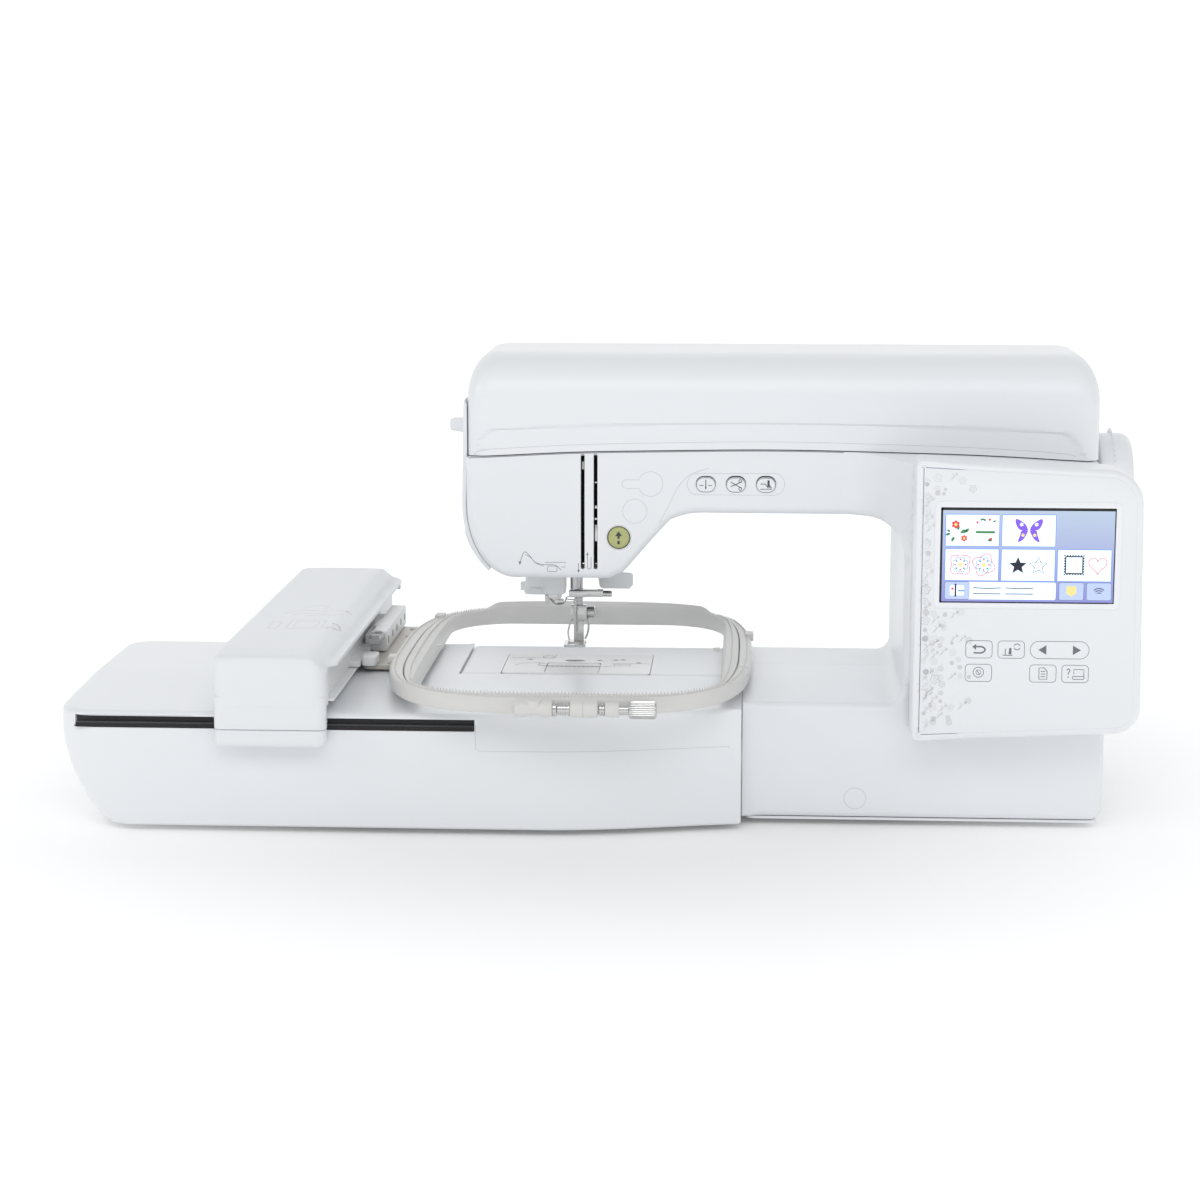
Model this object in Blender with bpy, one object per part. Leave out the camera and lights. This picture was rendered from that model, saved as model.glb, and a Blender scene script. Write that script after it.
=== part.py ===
"""Embroidery machine with its embroidery unit, carriage arm and clamped hoop.

Every length here is in millimetres, measured from the point on the table right
under the needle: +X to the right, +Y to the back, +Z up. A last empty shifts
the whole machine so that its origin is the middle of its footprint.
"""
import math

import bmesh
import bpy
from mathutils import Vector

MM = 0.001
NEEDLE_X, NEEDLE_Y = -24.5, 15.25      # the needle seen from the middle of the footprint
GAP = 0.4                              # clearance between neighbouring solids
WALL = 2.5                             # wall of every moulded casing

# Machine
BED_Z = 84.0                           # top of the bed
FLOOR_Z = 4.0                          # underside of the casings, above the feet
COVER_Z = 6.0                          # lower edge of the main covers, over the bottom plate
SEAM_X = 115.5                         # where the embroidery unit meets the machine
RIGHT_X = 347.0                        # right wall of the machine
PILLAR_X = 217.5                       # inner side of the pillar
HEAD_LEFT = -66.0
LID_Z = 236.6                          # rim of the lid
TOP_Z = 299.5
BASE_FRONT = -119.0
HEAD_FRONT = -61.0
BACK = 62.0
SPLIT_Y = -1.0                         # front and rear covers meet here
NOSE_LEFT, NOSE_RIGHT, NOSE_Z = -36.0, 32.0, 151.5
UNDERSIDE_Z = 195.5
SHAFT_Z = 212.0
WHEEL_R, WHEEL_X0, WHEEL_X1 = 32.0, 349.5, 373.5

# Free arm, hook and needle plate
FREE_ARM = (-75.0, 115.1, -47.0, 56.0)
PLATE = (-47.0, 53.0, -43.5, 22.0)
HOOK_Y, HOOK_R = -19.0, 15.0
CREASE_Y = -47.5                       # the bed slopes down in front of this line
SLOPE_DROP = 5.0

# Embroidery unit
UNIT_LEFT, UNIT_FRONT, UNIT_BACK = -324.5, -156.5, 60.0
NOTCH_X = -75.5                        # the free arm fills the notch right of here
UNIT_SPLIT_Z = 62.0
SLOT = (-310.5, -53.7, 68.5, 76.0)     # x and z of the slot for the carriage

# Carriage arm, holder and hoop
ARM = (-218.0, -141.0, -172.0, 170.0)
ARM_TOP, ARM_RIM, ARM_FRONT_Z = 120.4, 86.5, 60.0
HOOP_Z = (87.5, 97.5)
HOOP_MIDDLE = (1.3, -20.0)
HOOP_REACH = (120.0, 168.0, 156.0)      # to the sides, the front and the back
HOOP_OPENING = (-94.0, 101.0, -171.5, 118.5)
HOOP_CORNER = 44.0
HOOP_FULLNESS = 3.6      # 2 is an ellipse, more is squarer
HOOP_WALL = 5.0
SCREW_Y, SCREW_Z = -195.0, 92.5

# Operation panel
PANEL = (222.0, 364.5, 65.0, 243.0)
PANEL_FRONT = -152.0
LCD = (237.3, 345.4, 154.0, 214.0)

SLOTS_X = (9.2, 17.7)                  # thread channels in the head's front
BUTTON_Z = 215.0
START_X, START_Z, START_R = 33.0, 179.5, 7.2
PILL_X = {"needle_button": 90.1, "cutter_button": 109.8, "foot_button": 129.5}
PRESSER = (2.0, 10.0)
LEVER_PIVOT = (11.0, 158.0)
PULLEY_R, MOTOR_PULLEY_R = 18.0, 8.0
MOTOR_Y, MOTOR_Z = 20.0, 100.0
SHAFT_Y = -19.0                        # lower shaft, under the hook

AXES = {"x": (1, 2, 0), "y": (0, 2, 1), "z": (0, 1, 2)}


def clear_scene():
    for obj in list(bpy.data.objects):
        bpy.data.objects.remove(obj, do_unlink=True)


def finish(name, colour, roughness, metallic=0.0, coat=0.0):
    material = bpy.data.materials.new(name)
    material.use_nodes = True
    shader = material.node_tree.nodes["Principled BSDF"]
    shader.inputs["Base Color"].default_value = (*colour, 1.0)
    shader.inputs["Roughness"].default_value = roughness
    shader.inputs["Metallic"].default_value = metallic
    shader.inputs["Coat Weight"].default_value = coat
    return material


# Outlines -----------------------------------------------------------------

def arc(cx, cy, rx, ry, start, end, steps):
    """Points of an ellipse about (cx, cy), angles in degrees."""
    turn = [math.radians(start + (end - start) * i / steps) for i in range(steps + 1)]
    return [(cx + rx * math.cos(t), cy + ry * math.sin(t)) for t in turn]


def rounded(x0, x1, y0, y1, r, steps=3):
    """A rectangle with round corners, anticlockwise."""
    return (arc(x1 - r, y0 + r, r, r, -90, 0, steps) + arc(x1 - r, y1 - r, r, r, 0, 90, steps)
            + arc(x0 + r, y1 - r, r, r, 90, 180, steps) + arc(x0 + r, y0 + r, r, r, 180, 270, steps))


def inset(outline, depth):
    """The outline moved inwards, its corners mitred."""
    points = [Vector(p) for p in outline]
    moved = []
    for i, point in enumerate(points):
        before = (point - points[i - 1]).normalized()
        after = (points[(i + 1) % len(points)] - point).normalized()
        normal = Vector((-before.y, before.x)) + Vector((-after.y, after.x))
        normal.normalize()
        stretch = max(0.5, normal.dot(Vector((-before.y, before.x))))
        moved.append(tuple(point + normal * depth / stretch))
    return moved


def ease(t):
    """0 to 1 with a flat start and end."""
    t = min(1.0, max(0.0, t))
    return t * t * (3 - 2 * t)


def ring(outline, axis, height):
    """The outline at a height along an axis, as 3-D points."""
    first, second, third = AXES[axis]
    points = []
    for u, v in outline:
        point = Vector((0.0, 0.0, 0.0))
        point[first], point[second], point[third] = u, v, height
        points.append(point)
    return points


# Solids -------------------------------------------------------------------

def place(name, bm, material, origin, cutter):
    bmesh.ops.recalc_face_normals(bm, faces=bm.faces)
    bmesh.ops.translate(bm, verts=bm.verts, vec=-Vector(origin))
    bmesh.ops.scale(bm, verts=bm.verts, vec=(MM, MM, MM))
    mesh = bpy.data.meshes.new(name)
    bm.to_mesh(mesh)
    bm.free()
    obj = bpy.data.objects.new(name, mesh)
    bpy.context.scene.collection.objects.link(obj)
    obj.parent = bpy.data.objects["footprint"]
    obj.location = Vector(origin) * MM
    if cutter:
        obj.hide_render = True
        obj.display_type = "WIRE"
    else:
        mesh.materials.append(material)
        mesh.shade_smooth()
        mesh.set_sharp_from_angle(angle=math.radians(35))
    return obj


def loft(name, rings, material=None, origin=(0, 0, 0), closed=False):
    """A skin through rings of equal length, capped unless the rings close on themselves.

    Without a material the solid is a cutter.
    """
    bm = bmesh.new()
    layers = [[bm.verts.new(p) for p in points] for points in rings]
    pairs = list(zip(layers, layers[1:] + layers[:1] if closed else layers[1:]))
    for low, high in pairs:
        for i in range(len(low)):
            j = (i + 1) % len(low)
            bm.faces.new((low[i], low[j], high[j], high[i]))
    if not closed:
        bm.faces.new(layers[0])
        bm.faces.new(layers[-1])
    return place(name, bm, material, origin, material is None)


def prism(name, outline, axis, low, high, material=None, edge=0.0, origin=(0, 0, 0)):
    """The outline pulled along an axis, its ends chamfered by edge."""
    if not edge:
        rings = [ring(outline, axis, low), ring(outline, axis, high)]
    else:
        small = inset(outline, edge)
        rings = [ring(small, axis, low), ring(outline, axis, low + edge),
                 ring(outline, axis, high - edge), ring(small, axis, high)]
    return loft(name, rings, material, origin)


def block(name, x0, x1, y0, y1, z0, z1, material=None, edge=0.0, origin=(0, 0, 0)):
    corners = [(x0, y0), (x1, y0), (x1, y1), (x0, y1)]
    return prism(name, corners, "z", z0, z1, material, edge, origin)


def pan(name, outline, axis, mouth, floor, material, wall=WALL, edge=0.0, origin=(0, 0, 0)):
    """A tray of even wall: open at the mouth, closed at the floor."""
    out = 1.0 if floor > mouth else -1.0
    inner = inset(outline, wall)
    rings = [ring(inner, axis, floor - out * wall), ring(inner, axis, mouth),
             ring(outline, axis, mouth), ring(outline, axis, floor - out * edge)]
    if edge:
        rings += [ring(inset(outline, 0.3 * edge), axis, floor - out * 0.3 * edge),
                  ring(inset(outline, edge), axis, floor)]
        rings[0] = ring(inset(outline, max(wall, edge)), axis, floor - out * wall)
        rings.insert(1, ring(inner, axis, floor - out * max(wall, edge)))
    return loft(name, rings, material, origin)


def turned(name, axis, centre, profile, material=None, sides=20, origin=None):
    """A solid of revolution: profile holds (place along the axis, radius)."""
    rings = [ring(arc(*centre, r, r, 0, 360 - 360 / sides, sides - 1), axis, w) for w, r in profile]
    return loft(name, rings, material, origin if origin else (0, 0, 0))


def frame_ring(name, outer, inner, axis, low, high, material, origin=(0, 0, 0)):
    """A closed band between two outlines."""
    rings = [ring(outer, axis, low), ring(outer, axis, high), ring(inner, axis, high), ring(inner, axis, low)]
    return loft(name, rings, material, origin, closed=True)


def combine(obj, other, operation):
    other.hide_render = True
    other.display_type = "WIRE"
    modifier = obj.modifiers.new(f"{operation.lower()} {other.name}", "BOOLEAN")
    modifier.operation = operation
    modifier.object = other
    return obj


def cut(obj, *cutters):
    for cutter in cutters:
        combine(obj, cutter, "DIFFERENCE")
    return obj


# Main covers --------------------------------------------------------------

def machine_outline():
    """Base, pillar, arm and head from the front, anticlockwise."""
    fillet = 20.0
    foot = 9.0
    return ([(SEAM_X, COVER_Z), (RIGHT_X, COVER_Z), (RIGHT_X, LID_Z - GAP), (HEAD_LEFT - 2, LID_Z - GAP)]
            + arc(NOSE_LEFT, 200, 32, 48.5, 180, 270, 6)
            + [(NOSE_RIGHT, NOSE_Z), (63, 187.5), (70, 193), (80, UNDERSIDE_Z)]
            + arc(PILLAR_X - fillet, UNDERSIDE_Z - fillet, fillet, fillet, 90, 0, 4)
            + arc(PILLAR_X - foot, BED_Z + foot, foot, foot, 0, -90, 3)
            + [(SEAM_X, BED_Z)])


def main_covers(white):
    outline = machine_outline()
    front = pan("front_cover", outline, "y", SPLIT_Y, HEAD_FRONT, white, edge=6.0)
    rear = pan("rear_cover", outline, "y", SPLIT_Y + 0.3, BACK, white, edge=6.0)
    nose = block("nose_opening_cutter", NOSE_LEFT + 3, NOSE_RIGHT - 3, -46, 44, NOSE_Z - 4, NOSE_Z + 6)
    bed_end = block("bed_end_cutter", SEAM_X - 3, SEAM_X + WALL + 2, -40, 44, 30, 76)
    shaft = turned("shaft_hole_cutter", "x", (0, SHAFT_Z), [(RIGHT_X - 5, 7.5), (RIGHT_X + 2, 7.5)])
    cut(rear, nose, bed_end, shaft)
    cut(front, nose, bed_end, shaft)
    for name, x in zip(("take_up_slot_cutter", "thread_slot_cutter"), SLOTS_X):
        cut(front, block(name, x - 1.2, x + 1.2, HEAD_FRONT - 3, HEAD_FRONT + 4, 158, 232))
    cut(front, block("threader_guide_cutter", HEAD_LEFT - 5, HEAD_LEFT + 3, -13.2, -6.8, 188, LID_Z + 1))
    cut(front, turned("start_hole_cutter", "y", (START_X, START_Z),
                      [(HEAD_FRONT - 2, START_R + 0.5), (HEAD_FRONT + 4, START_R + 0.5)]))
    for name, x in PILL_X.items():
        hole = rounded(x - 7, x + 7, BUTTON_Z - 5.5, BUTTON_Z + 5.5, 5.2)
        cut(front, prism(f"{name}_hole_cutter", hole, "y", HEAD_FRONT - 2, HEAD_FRONT + 4))
    cut(rear, block("inlet_hole_cutter", RIGHT_X - 4, RIGHT_X + 2, 14, 40, 24, 46),
        block("switch_hole_cutter", RIGHT_X - 4, RIGHT_X + 2, 15, 33, 53.5, 67.5))


def slope_cutter(name, x0, x1):
    """The wedge that slopes the bed down towards its front edge."""
    front = UNIT_FRONT - 6
    drop = SLOPE_DROP * (CREASE_Y - front) / (CREASE_Y - UNIT_FRONT)
    wedge = [(front, BED_Z - drop), (CREASE_Y, BED_Z), (CREASE_Y, BED_Z + 6), (front, BED_Z + 6)]
    return prism(name, wedge, "x", x0, x1)


def base_front_cover(white):
    foot = 9.0
    outline = ([(SEAM_X, COVER_Z), (RIGHT_X, COVER_Z), (RIGHT_X, LID_Z - GAP), (PILLAR_X, LID_Z - GAP)]
               + arc(PILLAR_X - foot, BED_Z + foot, foot, foot, 0, -90, 3) + [(SEAM_X, BED_Z)])
    cover = pan("base_front_cover", outline, "y", HEAD_FRONT - 0.4, BASE_FRONT, white, edge=6.0)
    cut(cover, slope_cutter("base_slope_cutter", SEAM_X - 5, PILLAR_X - foot))


def lid(white):
    hinge = (0.0, BACK, LID_Z)
    steps = [(LID_Z, 0.0), (262.0, 0.0), (275.0, 1.5), (287.0, 6.0), (295.0, 12.0), (TOP_Z, 24.0)]
    outline = rounded(HEAD_LEFT, RIGHT_X - 1, HEAD_FRONT - 2, BACK, 22, 4)
    outer = [ring(inset(outline, d), "z", z) for z, d in steps]
    inner = [ring(inset(outline, d + WALL), "z", max(LID_Z, z - WALL)) for z, d in steps]
    loft("lid", inner[::-1] + outer, white, hinge)


def face_band(name, material, rx, rz, thick, start, end, y0, y1, top=None):
    """A plate that follows the round left side of the head."""
    outer = arc(NOSE_LEFT, 200, rx, rz, 180 + start, 180 + end, 5)
    inner = arc(NOSE_LEFT, 200, rx - thick, rz - thick, 180 + end, 180 + start, 5)
    if top:
        outer = [(NOSE_LEFT - rx, top)] + outer
        inner = inner + [(NOSE_LEFT - rx + thick, top)]
    return prism(name, outer + inner, "y", y0, y1, material)


def head_left_side(white, cutter_grey):
    cover = face_band("face_cover", white, 35.4, 52.0, 2.9, 0, 60, -48, 50, top=262.0)
    cut(cover, block("threader_slot_cutter", -75, -62, -13.2, -6.8, 186, 256))
    face_band("thread_cutter", cutter_grey, 38.8, 55.4, 3.0, 22, 44, -36, -20)


def bed_parts(white, steel, clear):
    x0, x1, y0, y1 = FREE_ARM
    arm = pan("free_arm_cover", rounded(y0, y1, 28, BED_Z, 5), "x", x1, x0, white, edge=3.0)
    p0, p1, q0, q1 = PLATE
    cut(arm, block("plate_opening_cutter", p0 - GAP, p1 + GAP, q0 - GAP, q1 + GAP, BED_Z - 5, BED_Z + 3))
    plate = prism("needle_plate", rounded(p0, p1, q0, q1, 3), "z", BED_Z - 2.4, BED_Z + 0.2, steel)
    cut(plate, turned("needle_hole_cutter", "z", (0, 0), [(BED_Z - 5, 2.0), (BED_Z + 3, 2.0)], sides=12),
        block("cover_opening_cutter", -18.4, 18.4, -40.4, -7.6, BED_Z - 5, BED_Z + 3))
    prism("bobbin_cover", rounded(-18, 18, -40, -8, 3), "z", BED_Z - 2.2, BED_Z, clear)


def hook_parts(steel, black):
    centre = (0, HOOK_Y)
    turned("hook", "z", centre, [(60.5, 0.5), (60.5, HOOK_R - 2.4), (74, HOOK_R - 2.4), (74, HOOK_R),
                                 (58, HOOK_R), (58, 3), (52, 3)], steel, 24, (0, HOOK_Y, 60))
    turned("bobbin_case", "z", centre, [(63.5, 0.5), (63.5, 10.3), (75.5, 10.3), (75.5, 11.9), (62, 11.9)], black)
    turned("lower_shaft", "x", (HOOK_Y, 46), [(5, 4), (245, 4), (245.2, 6.4), (252, 6.4)], steel, 16,
           (5, HOOK_Y, 46))


def cast_frame(casting):
    """Bottom beam, column, free arm beam and upper arm beam in one casting."""
    outline = [(130, 9), (250, 9), (250, 204.5), (24, 204.5), (24, 199), (222, 199), (222, 39), (-60, 39),
               (-60, 33), (222, 33), (222, 20), (130, 20)]
    prism("cast_frame", outline, "y", -12, 43, casting)


def bottom_parts(white, rubber):
    prism("bottom_plate", rounded(SEAM_X + 3, RIGHT_X - 3, BASE_FRONT + 5, BACK - 4, 4), "z", FLOOR_Z,
          COVER_Z - 0.3, white)
    spots = {"foot_front_left": (134, -72), "foot_front_right": (330, -72), "foot_back_left": (134, 44),
             "foot_back_right": (330, 44), "unit_foot_front": (-262, -106), "unit_foot_back": (-262, 36)}
    for name, spot in spots.items():
        turned(name, "z", spot, [(0, 8.5), (FLOOR_Z - 0.3, 9.5)], rubber, 12)


# Drive --------------------------------------------------------------------

def belt_outline(radius_offset):
    """The loop round the drive pulley and the motor pulley, seen along X."""
    big, small = PULLEY_R + radius_offset, MOTOR_PULLEY_R + radius_offset
    span = math.hypot(MOTOR_Y, SHAFT_Z - MOTOR_Z)
    lean = math.degrees(math.atan2(SHAFT_Z - MOTOR_Z, -MOTOR_Y))
    open_angle = math.degrees(math.acos((big - small) / span))
    return (arc(0, SHAFT_Z, big, big, lean - open_angle, lean + open_angle - 0.01, 10)
            + arc(MOTOR_Y, MOTOR_Z, small, small, lean + open_angle, lean + 360 - open_angle, 6))


def drive_parts(white, steel, black, dark):
    turned("handwheel", "x", (0, SHAFT_Z),
           [(WHEEL_X0, 27), (WHEEL_X0 + 2, WHEEL_R), (366, WHEEL_R), (371, 29), (WHEEL_X1, 23)], white, 28,
           (WHEEL_X0, 0, SHAFT_Z))
    turned("main_shaft", "x", (0, SHAFT_Z),
           [(24, 4), (24.2, 5), (331, 5), (331.2, PULLEY_R), (341, PULLEY_R), (341.2, 6), (WHEEL_X0 - 0.3, 6)],
           steel, 20, (24, 0, SHAFT_Z))
    turned("motor", "x", (MOTOR_Y, MOTOR_Z), [(258, 17), (261, 20), (322, 20), (325, 17)], dark, 20)
    turned("motor_pulley", "x", (MOTOR_Y, MOTOR_Z), [(325.4, 3), (330.8, 3), (331, MOTOR_PULLEY_R),
                                                     (341, MOTOR_PULLEY_R)], steel, 16,
           (331, MOTOR_Y, MOTOR_Z))
    frame_ring("drive_belt", belt_outline(2.4), belt_outline(0.5), "x", 332.5, 339.5, black)


def sewing_parts(steel, chrome, plastic):
    turned("needle_bar", "z", (0, 0), [(134.5, 3.2), (228, 3.2)], steel, 16)
    clamp = [(-4, -4.5), (20, -2.5), (20, 2.5), (-4, 4.5)]
    prism("needle_clamp", clamp, "z", 127.5, 134.2, chrome)
    turned("needle", "z", (0, 0), [(100.8, 0.3), (104, 0.8), (118, 0.8), (118.2, 1.1), (127.2, 1.1)], chrome, 10)
    take_up = [(-14, 201), (-6, 201), (-6, 209), (-12, 213), (-44, 228), (-56, 229), (-57, 224), (-46, 222),
               (-14, 207)]
    prism("take_up_lever", take_up, "x", SLOTS_X[0] - 0.8, SLOTS_X[0] + 0.8, chrome, origin=(SLOTS_X[0], -10, 205))
    turned("presser_bar", "z", PRESSER, [(110.5, 2.8), (200, 2.8)], steel, 16, (*PRESSER, 110.5))
    foot = [(-7.5, -9), (-4, -9), (-4, 3), (4, 3), (4, -9), (7.5, -9), (7.5, 12.5), (-7.5, 12.5)]
    sole = prism("presser_foot", foot, "z", 95, 97, chrome, origin=(*PRESSER, 95))
    combine(sole, block("foot_shank", -1.5, 5.5, 8.2, 12.2, 96, 110), "UNION")
    px, pz = LEVER_PIVOT
    handle = [(px - 5, pz - 6), (14, 142), (16, 131), (36, 131), (39, 134), (39, 142), (22, 143), (px + 6, pz - 6),
              (px + 6, pz + 5), (px - 5, pz + 5)]
    prism("presser_lever", handle, "y", 20, 26, plastic, edge=1.0, origin=(px, 23, pz))
    hood = [(-34, 131), (-6, 131), (-6, 160), (-30, 160)]
    prism("threader_hood", hood, "y", -9, 9, plastic)


def lamp(lens):
    block("led_lamp", 14, 27, -41, -29, NOSE_Z + 0.5, NOSE_Z + 4.5, lens, 1.0)


def side_controls(white, grey, black):
    tip = [(-84, 244.5), (-67, 241.5), (-67, 253), (-81, 253), (-84, 251.5)]
    prism("threader_lever", tip, "y", -12, -8, white, edge=0.6, origin=(-70, -10, 247))
    prism("start_stop_button", arc(START_X, START_Z, START_R, START_R, 0, 342, 19), "y", HEAD_FRONT - 2.5,
          HEAD_FRONT + 6, grey, edge=0.6, origin=(START_X, HEAD_FRONT, START_Z))
    for name, x in PILL_X.items():
        outline = rounded(x - 6.5, x + 6.5, BUTTON_Z - 5, BUTTON_Z + 5, 4.7)
        prism(name, outline, "y", HEAD_FRONT - 2, HEAD_FRONT + 6, white, edge=0.6, origin=(x, HEAD_FRONT, BUTTON_Z))
    socket = [(14.4, 24.4), (39.6, 24.4), (39.6, 45.6), (14.4, 45.6)]
    pan("power_inlet", socket, "x", RIGHT_X - 0.2, RIGHT_X - 22, black)
    rocker = [(RIGHT_X - 4, 55), (RIGHT_X + 1, 55), (RIGHT_X - 0.4, 60.5), (RIGHT_X + 1.6, 66), (RIGHT_X - 4, 66)]
    prism("power_switch", rocker, "y", 16, 32, black, origin=(RIGHT_X - 2, 24, 60.5))


def panel_parts(white, print_white, glass):
    x0, x1, z0, z1 = PANEL
    taper = 5.5
    outline = ([(x0, z0 + 3), (x0 + 3, z0)] + arc(x1 - 17, z0 + taper + 17, 17, 17, -90, 0, 4)
               + arc(x1 - 22, z1 - taper - 22, 22, 22, 0, 90, 4) + [(x0 + 3, z1), (x0, z1 - 3)])
    pan("panel_housing", outline, "y", BASE_FRONT - 0.4, PANEL_FRONT + 1.8, white, edge=3.0)
    plate = inset(outline, 4.0)
    fascia = prism("panel_fascia", plate, "y", PANEL_FRONT, PANEL_FRONT + 1.4, print_white)
    a, b, c, d = LCD
    cut(fascia, block("screen_window_cutter", a - GAP, b + GAP, PANEL_FRONT - 3, PANEL_FRONT + 3, c - GAP, d + GAP))
    block("lcd_screen", a, b, PANEL_FRONT + 0.3, PANEL_FRONT + 1.4, c, d, glass)


def under_lid_parts(white, steel):
    pin = block("spool_pin", 236, 242, 12, 28, LID_Z + 0.2, 266, white)
    combine(pin, turned("spool_rod", "x", (20, 257), [(150, 2.6), (239, 2.6)], white, 12), "UNION")
    turned("bobbin_winder", "z", (300, 10), [(LID_Z + 0.2, 12), (240, 12), (240.2, 3), (262, 2.6)], steel, 16,
           (300, 10, 240))


# Embroidery unit ----------------------------------------------------------

def unit_front_y(x):
    """The front wall seen from above: straight, then swept back to the machine's base."""
    return UNIT_FRONT + 29.5 * ease((x + 15) / 185)


def unit_outline():
    corner = 28.0
    front = [(x, unit_front_y(x)) for x in range(-250, 110, 30)] + [(SEAM_X - GAP, unit_front_y(SEAM_X))]
    return (arc(UNIT_LEFT + corner, UNIT_FRONT + corner, corner, corner, 180, 270, 4) + front
            + [(SEAM_X - GAP, CREASE_Y - 0.2), (NOTCH_X, CREASE_Y - 0.2), (NOTCH_X, UNIT_BACK)]
            + arc(UNIT_LEFT + 18, UNIT_BACK - 18, 18, 18, 90, 180, 3)[:-1] + [(UNIT_LEFT, UNIT_BACK - 20)])


def tucked(outline, depth):
    """Pulls the left end of the unit in, for its slanted left wall."""
    return [(x + depth * ease((-230 - x) / 95), y) for x, y in outline]


def unit_casings(white, brush):
    outline = unit_outline()
    inner = inset(outline, WALL)
    lower = [ring(tucked(inner, 20), "z", FLOOR_Z + WALL), ring(inner, "z", 50), ring(inner, "z", UNIT_SPLIT_Z),
             ring(outline, "z", UNIT_SPLIT_Z), ring(outline, "z", 52), ring(tucked(outline, 8), "z", 28),
             ring(tucked(outline, 25), "z", FLOOR_Z)]
    loft("unit_lower_casing", lower, white)
    ceiling = SLOT[3] + 0.3
    upper = [ring(tucked(inner, 2), "z", ceiling), ring(inner, "z", UNIT_SPLIT_Z + 0.3),
             ring(outline, "z", UNIT_SPLIT_Z + 0.3), ring(tucked(outline, 2), "z", 76),
             ring(inset(tucked(outline, 4), 2.5), "z", BED_Z)]
    top = loft("unit_top_cover", upper, white)
    cut(top, slope_cutter("unit_slope_cutter", UNIT_LEFT - 5, SEAM_X + 5),
        block("arm_slot_cutter", SLOT[0], SLOT[1], UNIT_FRONT - 4, UNIT_FRONT + 5, SLOT[2], SLOT[3]))
    block("slot_brush", SLOT[0] + 1, SLOT[1] - 1, UNIT_FRONT + 0.6, UNIT_FRONT + 5, SLOT[2] + 0.3, 71.6, brush)


def unit_drive(steel):
    turned("unit_x_rail", "x", (-129, 40), [(-306, 4), (-45, 4)], steel, 12)


# Carriage arm and hoop ----------------------------------------------------

def carriage_arm(white, steel):
    x0, x1, y0, y1 = ARM
    cover = pan("arm_cover", rounded(x0, x1, y0, y1, 8), "z", ARM_RIM, ARM_TOP, white, edge=5.0)
    skirt = prism("arm_skirt", rounded(x0, x1 - 4, y0, -161.4, 4), "z", 71.4, 95)
    combine(cover, skirt, "UNION")
    cut(cover, block("holder_gap_cutter", x1 - 6, x1 + 3, -162, y1 - 4, ARM_RIM - 2, 105))
    bracket = [(-171.5, ARM_FRONT_Z), (-158, ARM_FRONT_Z), (-158, 72), (-146, 72), (-146, 44.6), (-112, 44.6),
               (-112, 75.4), (-158, 75.4), (-158, 84.8), (162, 84.8), (162, 87.2), (-161, 87.2), (-161, 71),
               (-171.5, 71)]
    prism("arm_base", bracket, "x", x0 + 3.2, x1 - 7, white)
    turned("arm_y_rail", "y", (-196, 100), [(-160, 3), (160, 3)], steel, 12)


def hoop_outlines():
    """The opening, with extra points along its straight sides, and the full oval round it."""
    corners = rounded(*HOOP_OPENING, HOOP_CORNER, 6)
    opening = []
    for (u0, v0), (u1, v1) in zip(corners, corners[1:] + corners[:1]):
        steps = max(1, round(math.hypot(u1 - u0, v1 - v0) / 25))
        opening += [(u0 + (u1 - u0) * i / steps, v0 + (v1 - v0) * i / steps) for i in range(steps)]
    (cx, cy), (side, front, back) = HOOP_MIDDLE, HOOP_REACH
    oval = []
    for u, v in opening:
        reach = front if v < cy else back
        full = abs((u - cx) / side) ** HOOP_FULLNESS + abs((v - cy) / reach) ** HOOP_FULLNESS
        out = full ** (-1 / HOOP_FULLNESS)
        oval.append((cx + (u - cx) * out, cy + (v - cy) * out))
    return opening, oval


def holder(grey, metal):
    plan = [(-188, -57), (-140.4, -57), (-140.4, -1), (-130, -1), (-130, 103), (-140.4, 103), (-140.4, 3),
            (-188, 3)]
    prism("holder_carriage", plan, "z", 89.2, 103.8, grey)
    right = HOOP_MIDDLE[0] - HOOP_REACH[0] - GAP
    prism("hoop_bracket", rounded(-140.4, right, -45, 98, 4), "z", 85.4, 88.8, metal)
    lever = [(-139.4, -30), (-130.6, -30)] + arc(-135, -6, 4.4, 4.4, 0, 180, 6)
    prism("frame_lever", lever, "z", 99, 106, grey, edge=0.8, origin=(-135, -6, 102))


def hoop(plastic, nickel):
    opening, oval = hoop_outlines()
    frame_ring("hoop_outer_ring", oval, inset(oval, HOOP_WALL), "z", *HOOP_Z, plastic)
    frame_ring("hoop_inner_ring", inset(oval, HOOP_WALL + GAP), opening, "z", *HOOP_Z, plastic)
    front = HOOP_MIDDLE[1] - HOOP_REACH[1]
    clamp = block("hoop_clamp", -25, 27, -200.5, front - GAP, HOOP_Z[0] + 0.2, HOOP_Z[1] + 0.8, plastic, 1.0)
    cut(clamp, turned("screw_bore_cutter", "x", (SCREW_Y, SCREW_Z), [(-30, 2.6), (30, 2.6)], sides=16))
    turned("hoop_screw", "x", (SCREW_Y, SCREW_Z),
           [(-10, 2), (27.4, 2), (27.6, 4.8), (40, 4.8), (40.2, 3.2), (46, 3.2), (46.2, 5.4), (63, 5.4)], nickel, 16,
           (46, SCREW_Y, SCREW_Z))


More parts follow.
